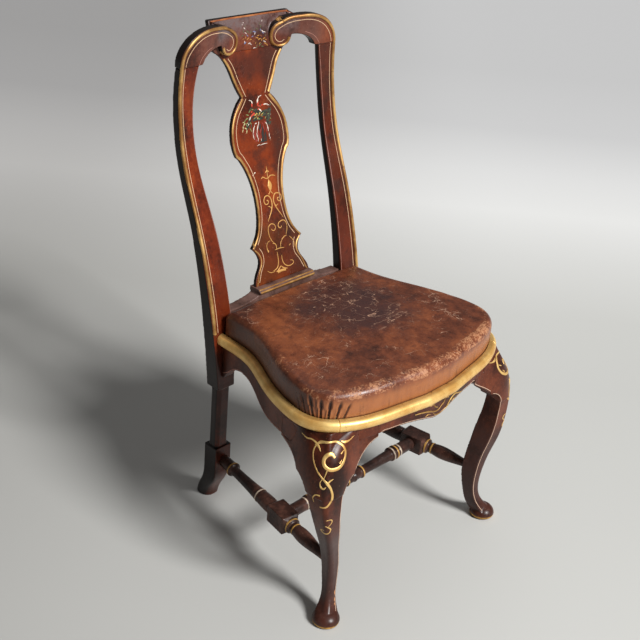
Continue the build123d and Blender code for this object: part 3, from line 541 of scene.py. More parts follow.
# The right-hand third of the splat is painted darker as shade.
splat_japan = aged(
    "splat_japan", dark=(56, 21, 10), mid=(106, 40, 15), bright=(142, 62, 23), side=True, tints=[
        (height_band(0.872, 0.925), 1.1, (72, 34, 24)),
        (height_band(0.850, 0.880), 0.9, (130, 52, 16)),
        (height_band(0.700, 0.820), 0.6, (98, 32, 14)),
        (height_band(0.545, 0.605), 1.2, (88, 44, 18)),
        (height_band(0.480, 0.540), 0.9, (86, 40, 16)), (shaded_right_third, 1.1, (66, 34, 24))])
splat = carved("splat", "splat_board", splat_japan, fineness=0.0012)
vase = [
    [(73, 488), (63, 512), (52, 534), (55, 547), (66, 559)],
    [(66, 562), (46, 588), (36, 640), (44, 697), (62, 734), (69, 741), (73, 766), (66, 803),
     (35, 844)],
    [(35, 848), (51, 879), (63, 907), (76, 925)],
]
board = surface_of(splat, crest)
brushwork("splat_bead", edge_gold, [[(x, z, 6) for x, z in run] for run in vase[1:]], board,
          proud=0.4, mirrored=True)
brushwork("foot_bead", edge_gold, [[(x - 2, z, 3) for x, z in vase[0]]], board,
          proud=0.4, mirrored=True)
inside = [
    [(64, 494), (54, 514), (44, 530), (44, 548), (50, 559)],
    [(52, 566), (38, 588), (27, 640), (35, 700), (53, 738), (60, 748), (63, 766), (57, 800),
     (26, 843)],
    [(26, 847), (42, 882), (54, 910), (64, 924)],
]
brushwork("splat_line", cream, [[(x, z, 1.3) for x, z in run] for run in inside], board,
          proud=0.15, mirrored=True)

# Arabesques in old gold below, drawn freehand: a bud on a stem between scrolls, and a footed stand.
arabesque = [
    [(3, 709, 0.8), (3, 703, 1.8), (3, 698, 2), (2.5, 689, 1.5), (3.5, 681, 1)],
    [(-2, 697, 1), (3, 700, 3.4), (8, 697, 1)],
    [(-16, 688, 1), (-10, 690, 2), (-3, 686.5, 1.8), (3, 686, 1.6), (10, 689.5, 1.9),
     (17, 689, 1.8), (23, 687, 1)],
    [(4, 682, 1.6), (4.5, 676, 9), (4.5, 671, 12.5), (4.5, 666, 9), (4, 660, 1.6)],
    [(4, 661, 1.8), (1, 657.5, 2.2), (-2, 655, 1)],
    [(4, 661, 1.4), (7, 657, 2), (10, 654, 1)],
    [(-15, 604, 0.8), (-9, 612, 1.8), (-3, 620, 2.6), (1, 628, 2.8), (3, 638, 2.8), (1, 647, 2.6),
     (-4, 652.5, 2.2), (-11, 653, 2.3), (-16.5, 648, 2.3), (-16.5, 640.5, 2.2), (-11, 637, 1.9),
     (-6.5, 639.5, 1.6), (-7, 644, 2.4), (-10, 644, 2)],
    [(-9, 632.5, 0.9), (-4, 631, 2.4), (0, 626, 1.2)],
    [(28, 603, 0.6), (21, 614, 1.5), (15, 623, 2.1), (10.5, 632, 2.5), (8.5, 640, 2.5),
     (10.5, 648, 2.5), (15, 653, 2.2), (22.5, 653, 2), (29, 649, 1.9), (31, 642.5, 1.7),
     (27.5, 637.5, 1.9), (21.5, 638, 2), (20, 643, 2.2), (24, 644, 2)],
    [(19, 632, 0.9), (14, 630, 1.8), (11, 632, 1)],
    [(-9, 560, 1.2), (-15.5, 569, 1.4), (-18.5, 580, 1.5), (-17.5, 591, 1.7), (-11.5, 597, 1.8),
     (-4, 597, 1.7), (1.5, 592.5, 1.5), (1, 586, 1.4), (-5, 584, 1.5), (-10, 588, 1.8)],
    [(28, 569, 1), (33, 580, 1.5), (33.5, 590, 1.7), (28.5, 597, 1.8), (20, 598, 1.7),
     (12, 594.5, 1.7), (10.5, 588.5, 2.2), (15.5, 585, 1.7), (20, 588, 1.2)],
    [(-5, 546, 1.2), (-3.5, 552, 1.7), (-6.5, 558, 1.8), (-12.5, 560, 1)],
    [(-27, 546, 4), (-29.5, 556, 1.2), (-25, 565, 1.2), (-18, 566.5, 0.9)],
    [(8, 546, 1.2), (9, 554, 1.4), (14, 561, 1.7), (22, 566, 1.7), (29, 567, 1)],
    [(34, 546.5, 5.5), (33.5, 547.5, 5)],
    [(36, 563.5, 1), (43, 556, 1.4), (46.5, 546, 1.4), (44, 539, 0.9)],
    [(-9, 546, 1.2), (4, 546.5, 1.8), (17, 545, 1)],
    [(-4, 541, 1), (-4, 530, 1.7), (-5, 520, 2.1), (-8, 513, 2.1), (-14, 508.5, 2), (-22, 507, 1)],
    [(7, 532, 1), (6.5, 523, 1.9), (8.5, 516, 2.1), (13, 510.5, 2), (20, 507, 1.9),
     (29, 506.5, 1.7), (36.5, 510.5, 1.6), (34.5, 514.5, 1.5), (28, 516.5, 1)],
    [(-38, 510.5, 0.9), (-30, 505.5, 1.4), (-18, 505, 1.2)],
    [(-14, 502.5, 1.6), (-6, 506.5, 3), (0, 512, 1)],
    [(0, 512, 1), (6, 506.5, 3), (17, 502.5, 1.4)],
    [(-11, 501, 4), (0, 502.5, 5), (12, 501, 4)],
]
scroll_gold = line_paint("scroll_gold", (222, 166, 92), rough=0.42, metal=0.3, worn=0.5)
brushwork("arabesque", scroll_gold, arabesque, board, proud=0.2)

# A pot of flowers on the swelling above, dabbed in white, reds and greens.
dabs("leaf_mass", (30, 32, 20), [
    (-22, 800, 22, 60, 9), (-12, 808, 20, 20, 10), (2, 812, 22, -10, 10), (17, 808, 20, -30, 12),
    (28, 800, 22, 75, 11), (30, 812, 12, 60, 8), (-30, 792, 16, 70, 7), (4, 800, 20, 0, 8),
    (24, 790, 12, -40, 8), (-8, 800, 14, 10, 7)], board, worn=0.6, proud=0.01)
dabs("pot_body", (34, 28, 22), [
    (8, 770, 30, 84, 7), (14, 764, 18, 88, 6), (4, 760, 12, 30, 5), (6, 756.5, 20, 4, 4),
    (2, 784, 14, 70, 5)], board, proud=0.03)
dabs("pot_red", (138, 42, 32), [
    (-13, 772, 20, 86, 4), (-4, 772, 22, 96, 4), (-11, 761, 8, 20, 4), (3, 778, 12, 60, 3),
    (12, 783, 12, 100, 3), (19, 776, 14, 95, 3), (17, 792, 7, 10, 4), (10, 790, 6, -40, 3),
    (1, 766, 10, 80, 2.4)], board)
dabs("pot_white", (222, 208, 192), [
    (-15, 783, 16, 64, 2.6), (-18, 770, 12, 96, 1.8), (-8, 793, 6, 10, 2.4), (-4, 784, 18, 66, 2.8),
    (0, 793, 6, 80, 2.2), (-8, 770, 12, 100, 2.2), (-7, 762, 6, 70, 1.6), (19, 790, 9, -50, 2.6),
    (22, 780, 14, -84, 2.6), (23.5, 766, 8, -96, 2), (1, 760, 6, 80, 1.4), (5, 751, 20, 2, 1.6),
    (-8, 752, 8, 10, 1.4), (25, 760, 4, 70, 1.4)], board)
dabs("leaf_dark", (52, 56, 40), [
    (30, 800, 18, 60, 7), (25, 812, 16, -10, 6), (35, 812, 10, 70, 5), (30, 788, 10, 40, 6),
    (18, 806, 12, 20, 5), (-25, 800, 12, -70, 4), (-4, 818, 14, 10, 4), (-28, 790, 12, -60, 3),
    (8, 824, 10, 30, 3), (-16, 822, 10, 20, 3), (37, 822, 7, 50, 4), (24, 794, 9, -20, 4),
    (-20, 790, 8, 80, 3)], board, worn=0.35)
dabs("leaf_green", (122, 136, 80), [
    (-30, 805, 9, 20, 2.6), (-36, 801, 7, 60, 2.4), (-27, 812, 8, -20, 2.4), (-20, 818, 7, 40, 2.2),
    (-33, 794, 8, -60, 2.2), (-22, 796, 9, -50, 2.4), (4, 808, 7, 30, 2.4), (10, 805, 6, -30, 2.2),
    (-3, 806, 6, 60, 2.2), (15, 810, 6, 20, 2), (-12, 820, 6, 0, 2), (20, 800, 6, 50, 2),
    (28, 806, 6, 20, 1.8), (-9, 803, 7, 20, 2.4), (2, 800, 7, -10, 2.4), (32, 797, 6, -40, 1.8),
    (-24, 784, 12, -58, 2)], board)
dabs("leaf_pale", (190, 176, 126), [
    (-38, 796, 7, 40, 3), (-42, 791, 6, 80, 3), (-44, 785, 6, 60, 2.6), (-36, 788, 7, -30, 3),
    (-34, 782, 7, 70, 3), (-40, 800, 5, -20, 2), (-24, 802, 4, 70, 2.6),
    (-30, 797, 5, 10, 2)], board)
dabs("bloom_red", (196, 62, 36), [
    (-12, 829, 8, 84, 4.4), (-13, 810, 9, 10, 5), (-17, 808, 6, 40, 4), (-9, 812, 6, -20, 4),
    (4, 829, 8, 60, 5), (7, 824, 8, -10, 3.4), (15, 825, 8, 6, 3), (4, 819, 6, 30, 3),
    (-15, 816, 5, 20, 3)], board)
dabs("bloom_white", (236, 220, 204), [
    (-12, 834, 8, -76, 3), (-16, 838, 6, -20, 1.6), (4, 835, 9, 70, 4.4), (8, 841, 8, 36, 2.4),
    (13, 843, 5, 10, 1.6), (23, 825, 14, -4, 2.4), (31, 822.5, 6, -10, 1.4), (8, 816, 9, -40, 3.4),
    (-21, 805, 7, 60, 3), (33, 805, 4, -30, 2), (29, 811, 4, -20, 1.8),
    (-27, 794, 5, 50, 2)], board)
dabs("bloom_yellow", (204, 170, 82), [
    (-6, 809, 6, 20, 3), (-2, 811, 5, -30, 2.4), (6, 811, 6, 30, 2.2), (12, 808, 5, 10, 2),
    (-1, 802, 5, 40, 2)], board)
dabs("pot_chip", (236, 214, 190), [
    (-30, 702, 5, 20, 3), (-35, 699, 4, 30, 1.6)], board)

shoe_japan = aged("shoe_japan", dark=(62, 42, 36), mid=(92, 66, 58), bright=(114, 86, 78))
shoe = carved("splat_shoe", "shoe", shoe_japan)
shoe_front = surface_of(shoe)
brushwork("shoe_gilding", edge_gold, [
    [(-77, 480.8, 6.5), (0, 480.8, 6.5), (77, 480.8, 6.5)],
    [(-77.5, 486.6, 1.8), (0, 486.6, 1.8), (77.5, 486.6, 1.8)]], shoe_front, proud=0.3)
carved("rear_seat_rail", "rear_rail", aged("rear_rail_japan"), fineness=0.002)

# ---- Seat rails, legs and brackets -------------------------------------------------------------
# Beech rails between the legs, sawn below to the profile; cabriole legs with a bracket glued on at
# each side of the knee, all japanned over the joints.

rail_japan = aged("rail_japan", dark=(42, 19, 10), mid=(80, 34, 18), bright=(108, 52, 28))
rails = [carved(node, node + "_board", rail_japan)
         for node in ("side_rail_left", "side_rail_right", "front_rail")]
leg_japan = aged(
    "leg_japan", dark=(38, 17, 10), mid=(76, 33, 18), bright=(102, 49, 28), tints=[
        (height_band(0.0, 0.22, 0.06), 1.3, (68, 44, 39)),
        (height_band(0.003, 0.0075, 0.0015), 1.6, (196, 146, 66))])
knee_gold = gilded("knee_gold", pale=(236, 198, 126), deep=(210, 160, 88), worn=0.25)
knee_scrolls = [
    [(-14, 377, 4), (-21, 382.5, 6), (-30, 379, 6.5), (-33.5, 369, 6.5), (-27, 361, 6.5),
     (-13, 358.5, 6.5), (-1, 362, 6), (5, 373, 3.5), (2, 387, 3), (-9, 396, 3), (-25, 400, 3),
     (-40, 396, 4), (-50, 390, 1)],
    [(-44, 394, 1.5), (-51, 385, 2), (-52, 372, 2), (-46, 357, 2.2), (-35, 344, 3), (-24, 334, 5),
     (-16, 321, 4), (-13, 304, 4.5), (-18, 291, 4.5), (-33, 283, 3)],
    [(-25, 362, 2), (-28, 352, 2), (-31, 343, 1.4)],
    [(-24, 334, 4), (-19, 339, 3), (-14, 342, 1)],
    [(-34, 341, 1), (-37, 332, 1.6), (-32, 324, 4), (-26, 328, 1.6)],
    [(-35, 309, 3), (-43, 308, 2), (-47, 298, 1.6), (-44, 287, 1)],
    [(-74, 395, 1), (-66, 393, 2), (-55, 395, 2), (-44, 390, 4), (-40, 384, 1)],
    [(-4, 397, 1), (4, 394, 4), (12, 394, 2), (20, 398, 0.8)],
    [(2, 384, 1), (-3, 380, 2.6)],
    [(-4, 366, 3), (-1, 371, 1)],
    [(-20, 256, 1), (-11, 255, 1.8), (-8, 248, 2), (-14, 241, 1.2)],
    [(-20, 242, 1.2), (-12, 237, 2.4), (-9, 230, 2.4), (-17, 222, 2.4), (-26, 225, 2),
     (-21, 230, 1)],
]


def knee_face(side):
    """Place for a stroke on a knee: out along the leg's diagonal, across it and up."""
    out = Vector((side, -1, 0)).normalized()
    across = Vector((side, 1, 0)).normalized()
    before_foot = Vector((side * 0.254, -0.27595, 0)) + out * 0.2

    def place(along, up):
        return before_foot - across * along + Vector((0, 0, up)), -out

    return place


legs = []
for side, way in (("left", -1), ("right", 1)):
    brackets = ["knee_bracket_front_" + side, "knee_bracket_side_" + side]
    leg = carved("front_leg_" + side, "cabriole_" + side, leg_japan, glued_on=brackets)
    brushwork("knee_scrolls_" + side, knee_gold, knee_scrolls, surface_of(leg), knee_face(way))
    legs.append(leg)

# A cream line runs under the lipping, along the lower edges and down the inner edge of each front
# leg. The middle of the front rail has a leafy scroll in raised gold.
front_wood = surface_of(rails[2], *legs)


def from_side(side):
    """Place beside the chair for a stroke on a face that is seen from that side."""
    return lambda along, up: (Vector((side * stand_off, along, up)), Vector((-side, 0, 0)))


def above_edge(surface, place, along):
    """Point of a line that keeps 3 mm above the lower edge of a rail or bracket."""
    mid_rail, below_brackets, wide = 0.395, 0.288, 1.3
    start, inward = place(along / 1000, mid_rail)
    under = surface.ray_cast(start, inward)[0] + inward * 0.005
    low = surface.ray_cast(Vector((under.x, under.y, below_brackets)), Vector((0, 0, 1)))[0]
    return along, low.z * 1000 + 3, wide


half_edge = [above_edge(front_wood, from_front, along) for along in (
    0, 12, 28, 45, 62, 80, 100, 120, 138, 150, 160, 170, 180, 190, 198, 205)]
leg_edge = [(212, 328.5, 1.3), (219, 326.5, 1.3), (227, 322, 1.3), (234, 315, 1.3), (240, 304, 1.3),
            (242, 290, 1.4), (241.5, 270, 1.4), (240.5, 245, 1.5), (234, 205, 1.5), (225, 165, 1.5),
            (217, 120, 1.4), (216.5, 80, 1.3), (222, 52, 1.3), (228, 34, 1.3), (234, 22, 1)]
leg_line = line_paint("leg_line", (214, 180, 154), worn=0.5)
brushwork("front_edge_line", leg_line, [half_edge, leg_edge], front_wood, mirrored=True, proud=0.15)
brushwork("under_lipping_line", rose_line,
          [[(along, 410.5, 1.2) for along in range(-200, 201, 40)]], front_wood, proud=0.15)
for rail, leg, way, side in ((rails[0], legs[0], -1, "left"), (rails[1], legs[1], 1, "right")):
    wood, place = surface_of(rail, leg), from_side(way)
    lower_edge = [above_edge(wood, place, along) for along in range(-180, 121, 20)]
    brushwork("edge_line_" + side, rose_line, [lower_edge], wood, place, proud=0.15)
rail_gold = gilded("rail_gold", pale=(206, 166, 96), deep=(150, 108, 54), worn=0.6, metal=0.5)
brushwork("rail_scroll", rail_gold, [
    [(-62, 396, 1.5), (-40, 394, 3), (-22, 389, 4), (-10, 384, 3.4), (5, 383, 3.4), (12, 388, 2)],
    [(88, 386, 1.2), (72, 391, 2.6), (58, 396, 3.6), (44, 393, 3.6), (36, 386, 3.4), (30, 378, 3.4),
     (22, 374, 3.2), (10, 372, 3), (-2, 374, 2.6), (-10, 380, 1.6)],
    [(22, 405, 1.2), (20, 395, 3), (12, 388, 3.4)],
    [(-12, 403, 1.2), (-8, 395, 3), (0, 390, 3.4)],
    [(-24, 401, 1.4), (-18, 402, 4), (-12, 400, 1.4)],
    [(24, 401, 1.4), (29, 402, 4), (34, 399, 1.4)],
    [(-34, 382, 1.2), (-26, 384, 3), (-18, 381, 1.2)],
    [(48, 384, 1.2), (54, 386, 3), (62, 384, 1.2)]],
    front_wood, proud=0.7)
dabs("leg_chips", (214, 146, 92), [
    (243, 53, 7, -20, 4), (249, 50, 4, 10, 3), (-224, 52, 9, 80, 2.4), (-228, 40, 7, 70, 2.6),
    (-231, 33, 5, 60, 2)], front_wood, worn=0.3)

# ---- Stretchers --------------------------------------------------------------------------------
# Three turned beech stretchers in an H, japanned near black, the small rings gilt. The side ones
# are tenoned into the legs and posts, and the cross stretcher into the square block of each.

def along_side(place):
    """Distance from the rear block along a side stretcher, in metres."""
    x, y = place.parts()[:2]
    start, end = Vector((0.173, 0.1141, 0)), Vector((0.227, -0.2350, 0))
    run = (end - start).normalized()
    return (x.size() - start.x) * run.x + (y - start.y) * run.y


def rings_at(distance_of, *places):
    """Mask for narrow turned rings at distances along a stretcher, in millimetres."""
    def mask(place):
        far = distance_of(place)
        near = [(far - at / 1000).size() for at in places]
        nearest = near[0]
        for other in near[1:]:
            nearest = nearest.lesser(other)
        return 1 - nearest.step(0.0012, 0.0022)
    return mask


def along_cross(place):
    """Distance from the middle of the cross stretcher, in metres."""
    return place.parts()[0].size()


gilt_ring, white_ring = (186, 142, 74), (206, 186, 164)
side_rings, cross_rings = ((37, 249, 262), (139,)), ((23.5, 134), (122, 144.5))
for node, far, (gilt, white) in (("side_stretcher_left", along_side, side_rings),
                                 ("side_stretcher_right", along_side, side_rings),
                                 ("cross_stretcher", along_cross, cross_rings)):
    dark_japan = aged(
        node + "_japan", dark=(30, 19, 16), mid=(58, 37, 31), bright=(92, 60, 50),
        tints=[(rings_at(far, *gilt), 1.8, gilt_ring), (rings_at(far, *white), 1.3, white_ring)])
    carved(node, node + "_turning", dark_japan, fineness=0.0012)

# ---- Gilt lipping ------------------------------------------------------------------------------
# A half-round beech moulding, oil gilt and worn, mitred at the front corners. It is pinned on top
# of the rails, and the loose seat drops in behind it.

lip_low, lip_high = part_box("seat_moulding_front")
# Painted shade: the lipping darker along its lower edge, and a dark line along its top where the
# leather meets it.
lipping_gold = gilded(
    "lipping_gold", pale=(246, 208, 132), deep=(214, 162, 86), worn=0.35, metal=0.42, shine=0.27,
    tints=[(height_band(lip_low.z - 0.02, lip_low.z + 0.003, 0.002), 0.6, (122, 80, 40)),
           (height_band(lip_high.z - 0.0012, lip_high.z + 0.02, 0.0008), 0.35, (96, 62, 34))])
for node in ("seat_moulding_front", "seat_moulding_left", "seat_moulding_right"):
    carved(node, node + "_gilt", lipping_gold, fineness=0.001)

# ---- Drop-in seat ------------------------------------------------------------------------------
# A beech frame, webbed, stuffed with horsehair and covered in brown calf. The leather is drawn down
# over the edge, pleated at the front corners and tacked below. The seat lies loose in the lipping.

seat_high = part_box("leather_cover")[1]
seat_middle = Vector((0, -0.08, 0.455))
seat_corner = (0.248, -0.206)       # where the pleats of the right front corner fan out
pleated_reach = 0.062               # how far round the edge they go from it


def seat_outline(count=1400):
    """Outline of the covered seat, as evenly spaced points round its middle."""
    solid = surface_of(nodes["leather_cover"])
    ring, half_turn = [], 360
    for step in range(2 * half_turn):
        toward = Vector((cos(step * pi / half_turn), sin(step * pi / half_turn), 0))
        ring.append(solid.ray_cast(seat_middle + toward * stand_off, -toward)[0][:2])
    ring = np.array(ring + ring[:1])
    along = np.concatenate([[0], np.cumsum(np.linalg.norm(np.diff(ring, axis=0), axis=1))])
    even = np.linspace(0, along[-1], count, endpoint=False)
    spaced = np.stack([np.interp(even, along, ring[:, axis]) for axis in (0, 1)], 1)
    return spaced, along[-1] / count


def eased(values, reach):
    """Values round a closed outline, averaged over their neighbours."""
    shares = np.hanning(2 * reach + 3)[1:-1]
    shares /= shares.sum()
    wrapped = np.concatenate([values[-reach:], values, values[:reach]])
    return np.stack([np.convolve(column, shares, "valid") for column in wrapped.T], 1)


def seat_columns():
    """Points round the seat, closer together where the leather is pleated, with their inward
    normals and how far round they are from each front corner."""
    fine, pace = seat_outline()
    fine = eased(fine, 6)
    ahead_of = np.roll(fine, -3, 0) - np.roll(fine, 3, 0)
    inward = np.stack([-ahead_of[:, 1], ahead_of[:, 0]], 1)
    inward = eased(inward / np.linalg.norm(inward, axis=1)[:, None], 12)
    inward /= np.linalg.norm(inward, axis=1)[:, None]
    steps, half = np.arange(len(fine)), len(fine) / 2
    from_corner = []
    for way in (-1, 1):
        corner = np.argmin(np.linalg.norm(fine - (way * seat_corner[0], seat_corner[1]), axis=1))
        from_corner.append(((steps - corner + half) % len(fine) - half) * pace)
    pleated = np.min(np.abs(from_corner), 0) < pleated_reach
    keep = pleated | (steps % 3 == 0)
    return fine[keep], inward[keep], [run[keep] for run in from_corner]


def rings_joined(rings, count, start=0):
    """Faces between rings of points that follow one another, each with the same count."""
    faces = []
    for ring in range(rings - 1):
        for number in range(count):
            here, following = (start + ring * count + at for at in (number, (number + 1) % count))
            faces.append((here, following, following + count, here + count))
    return faces


def sewn(name, points, faces):
    """A soft piece from its points and faces."""
    mesh = bpy.data.meshes.new(name)
    mesh.from_pydata(points, [], faces)
    piece = bpy.data.objects.new(name, mesh)
    bpy.context.scene.collection.objects.link(piece)
    return piece


def padded_shell(name, shrink=0.0, closed=False):
    """The covered seat as rows of points: return under the frame, wall, rolled edge and top."""
    outline, normal, corner_run = seat_columns()
    to_middle = np.array(seat_middle[:2]) - outline
    to_middle /= np.linalg.norm(to_middle, axis=1)[:, None]
    square_on = np.clip(np.sum(to_middle * normal, axis=1), 0.62, 1)[:, None]
    inward = to_middle / square_on
    roll, roll_rows, top_rows, crown_rise = 0.017 - shrink, 9, 30, 0.012
    turned_under = [(0.034, 0.4150), (0.018, 0.4148)]       # in from the wall, and height
    lower_edge = [(0.004, 0.4146), (0.0012, 0.4156), (0.0003, 0.4185)]
    wall = [(0, lower_edge[-1][1] + step * 0.0028) for step in range(1, 17)]
    rows = ([] if closed else turned_under) + lower_edge + wall
    scuffed_height, scuffed_reach = 0.475, 0.02
    points, rim = [], []
    crown_radius = (seat_high.x ** 2 + crown_rise ** 2) / (2 * crown_rise)

    def crown(place):
        from_middle = np.sum((place - np.array(seat_middle[:2])) ** 2, axis=1)
        return seat_high.z - from_middle / (2 * crown_radius)

    for inset, height in rows:
        points.append((outline + inward * (inset + shrink), np.full(len(outline), height + shrink)))
        near_roll = max(0.0, 1 - abs(height - scuffed_height) / scuffed_reach)
        rim.append(np.full(len(outline), near_roll))
    edge = outline + inward * (roll + shrink)
    for step in range(1, roll_rows + 1):
        angle = step * pi / (2 * roll_rows)
        place = outline + inward * (roll * (1 - cos(angle)) + shrink)
        points.append((place, crown(edge) - shrink - roll * (1 - sin(angle))))
        rim.append(np.full(len(outline), 1.0))
    for step in range(1, top_rows):
        share = (step / top_rows) ** 1.05
        place = edge * (1 - share) + np.array(seat_middle[:2]) * share
        points.append((place, crown(place) - shrink))
        rim.append(np.full(len(outline), max(0.0, 1 - step / 5)))
    flat = np.concatenate([np.column_stack(part) for part in points])
    flat = np.vstack([flat, [*seat_middle[:2], seat_high.z - shrink]])
    wide, high = len(outline), len(points)
    faces = rings_joined(high, wide)
    faces += [((high - 1) * wide + column, (high - 1) * wide + (column + 1) % wide, len(flat) - 1)
              for column in range(wide)]
    if closed:
        faces.append(tuple(reversed(range(wide))))
    facts = {
        "outward": np.vstack([np.tile(-normal, (high, 1)), [0, 0]]),
        "corner_run": [np.append(np.tile(line, high), 1.0) for line in corner_run],
        "rim": np.append(np.concatenate(rim), 0.0),
    }
    return sewn(name, flat.tolist(), faces), facts


# The seven pleats at a corner: how far round it each starts and leans, how tall and deep it is.
folds = [(-0.044, -0.012, 0.020, 0.0016), (-0.030, -0.012, 0.032, 0.0024),
         (-0.014, -0.009, 0.038, 0.0028), (0.001, -0.002, 0.036, 0.0026),
         (0.015, 0.002, 0.037, 0.0028), (0.030, 0.007, 0.033, 0.0024),
         (0.045, 0.012, 0.028, 0.0022)]
lipping_top = 0.436


def pleats(piece, facts):
    """Draw the leather in to small pleats that fan up from the lipping at each front corner."""
    place = np.array([vertex.co for vertex in piece.data.vertices])
    height = place[:, 2]
    depth = np.zeros(len(place))
    narrow, wider = 0.0016, 0.0012      # half a pleat's width, and what it gains above
    for run, slant in zip(facts["corner_run"], (1, -1)):
        for at, lean_by, tall, deep in folds:
            middle = slant * (at + lean_by * (height - lipping_top) / 0.03)
            across_fold = (run - middle) / (narrow + wider * (height > 0.45))
            starts = np.clip((height - lipping_top + 0.012) / 0.006, 0, 1)
            ends = np.clip((lipping_top + tall - height) / 0.012, 0, 1)
            ridges = 0.35 * np.exp(-((np.abs(across_fold) - 2.2) ** 2))
            depth += deep * starts * ends * (np.exp(-across_fold ** 2) - ridges)
    place[:, :2] -= facts["outward"] * depth[:, None]
    piece.data.vertices.foreach_set("co", place.ravel())
    return np.clip(depth / 0.0018, 0, 1)


def hand_drawn(piece, facts):
    """Slacken the leather as years of use have: low waves, a few hollows and a soft uneven edge."""
    wall_foot, wall_top = 0.44, 0.47
    for vertex, out in zip(piece.data.vertices, facts["outward"]):
        at = vertex.co.copy()
        if at.z > wall_top:
            vertex.co.z += noise.noise(at * 14) * 0.0011 + noise.noise(at * 38) * 0.0005 - 0.0008
        elif at.z > wall_foot:
            wave = noise.noise(Vector((at.x, at.y, at.z * 0.3)) * 30) * 0.0010 - 0.0004
            amount = wave * min(1, (at.z - wall_foot) / 0.02)
            vertex.co.x += out[0] * amount
            vertex.co.y += out[1] * amount


def written(piece, name, values):
    """Keep one value for each point of the mesh, for its finish to read."""
    kept = piece.data.attributes.new(name, "FLOAT", "POINT")
    kept.data.foreach_set("value", np.asarray(values, float))


def calf():
    """Old brown leather: clouded, crazed where it has been sat on, scuffed pale along its edges."""
    material, shader, place = new_finish("seat_calf")
    rim = place.node("ShaderNodeAttribute", {"attribute_name": "rim"}, {}, "Fac")
    fold = place.node("ShaderNodeAttribute", {"attribute_name": "fold"}, {}, "Fac")
    x, y, z = place.parts()
    on_top = z.step(0.476, 0.484)
    facing = place.node("ShaderNodeNewGeometry", {}, {}, "Normal").parts()[1]
    front_lit = (facing * -1).step(0.15, 0.75)

    # The hide itself, clouded, with a dark patch and blots where it has been sat on.
    broad = place.cloud(8.5, 6, 0.62)
    fine = place.cloud(55, 6, 0.65)
    grit = place.cloud(260, 5, 0.6)
    hide = (broad * 0.55 + fine * 0.35 + grit * 0.1).ramp([
        (0.39, (64, 31, 20)), (0.5, (106, 55, 34)), (0.61, (138, 76, 44))])
    over, behind = (x - 0.02) / 0.12, (y + 0.03) / 0.115
    from_patch = over * over + behind * behind
    dark = (1 - (from_patch + (place.cloud(12, 7, 0.72) - 0.5) * 3.2).step(0.2, 1.5)) * on_top
    hide = (dark * 0.82).between(hide, colour(62, 40, 39))
    blots = place.cloud(22, 7, 0.72).step(0.57, 0.64) * 0.5
    hide = blots.between(hide, colour(74, 38, 28))

    # Pale cracks: thin lines where a cloud passes its middle value, broken up and in patches.
    creases = [(place.cloud(scale, 3, 0.5, stretch=stretch) - 0.5).size()
               for scale, stretch in ((26, (0.35, 1, 1)), (34, (1, 0.45, 1)), (62, (0.5, 1, 1)))]
    net = 1 - creases[0].lesser(creases[1]).step(0.001, 0.0065)
    small_net = 1 - creases[2].step(0.001, 0.0075)
    crazed = place.cloud(16, 5, 0.6).step(0.48, 0.62) * on_top
    broken = place.cloud(42, 4, 0.6).step(0.40, 0.52)
    cracks = (net * broken * crazed.greater(dark * 0.9)).greater(small_net * broken * crazed * 0.75)
    hide = (cracks * 0.9).between(hide, colour(190, 148, 122))

    # Pale scuffs on the rolled edge, most of them in front.
    front = 1 - y.step(-0.27, -0.10)
    rubbing = rim * (0.2 + front * 0.1 + place.cloud(17, 7, 0.75))
    scuff = (rubbing + (place.cloud(230, 5, 0.75) - 0.5) * 0.9).step(0.78, 0.92)
    hide = (scuff * 0.65).between(hide, colour(198, 142, 102))

    # The wall: tan where it faces front and dark where it faces the sides, painted light and shade,
    # with drawn lines, and painted shade in the pleats and at the foot.
    drawn = place.cloud(70, 4, 0.6, stretch=(1, 1, 0.12))
    low = (1 - z.step(0.456, 0.476)) * (0.3 + drawn)
    hide = (low * (front_lit * 0.85 + 0.15)).between(hide, colour(166, 102, 58))
    hide = ((1 - z.step(0.462, 0.480)) * (1 - front_lit) * 0.55).between(hide, colour(70, 36, 22))
    lines = (1 - z.step(0.44, 0.47)) * drawn.step(0.55, 0.68) * 0.5
    hide = lines.between(hide, colour(82, 42, 26))
    # Painted shade in the pleats, by their depth.
    hide = fold.between(hide, colour(52, 27, 20))
    # Painted shade at the foot of the wall, where it meets the lipping.
    foot_shade = 1 - z.step(0.430, 0.437)
    hide = (foot_shade * 0.8).between(hide, colour(60, 34, 24))
    relief = fine * 0.5 + grit * 0.3 - cracks * 0.6 - small_net * 0.12
    shader.inputs["Specular IOR Level"].default_value = 0.5
    feed(shader, Base_Color=hide, Roughness=fine * 0.3 + 0.17 + scuff * 0.25 + fold * 0.2,
         Normal=bumped(relief, 0.55, 0.0011))
    return material


cover, facts = padded_shell("calf_cover")
hand_drawn(cover, facts)
# The pleats' depth is kept to paint shade and roughness in them.
written(cover, "fold", pleats(cover, facts))
written(cover, "rim", facts["rim"])
cover.data.materials.append(calf())
finished_by(cover, "SOLIDIFY", thickness=0.0018, offset=-1)
bpy.ops.object.shade_smooth()
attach(cover, "slip_seat")
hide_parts("leather_cover")

filling = padded_shell("horsehair", shrink=0.004, closed=True)[0]
filling.data.materials.append(
    aged("horsehair_stuffing", dark=(30, 24, 20), mid=(52, 42, 34), bright=(74, 60, 48)))
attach(filling, "slip_seat")
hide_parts("stuffing")

# ---- Under the seat ----------------------------------------------------------------------------
# Three jute straps each way, woven through each other and tacked to a bare beech frame, with linen
# stretched over them under the stuffing. Iron tacks and pins hold the leather and the lipping.

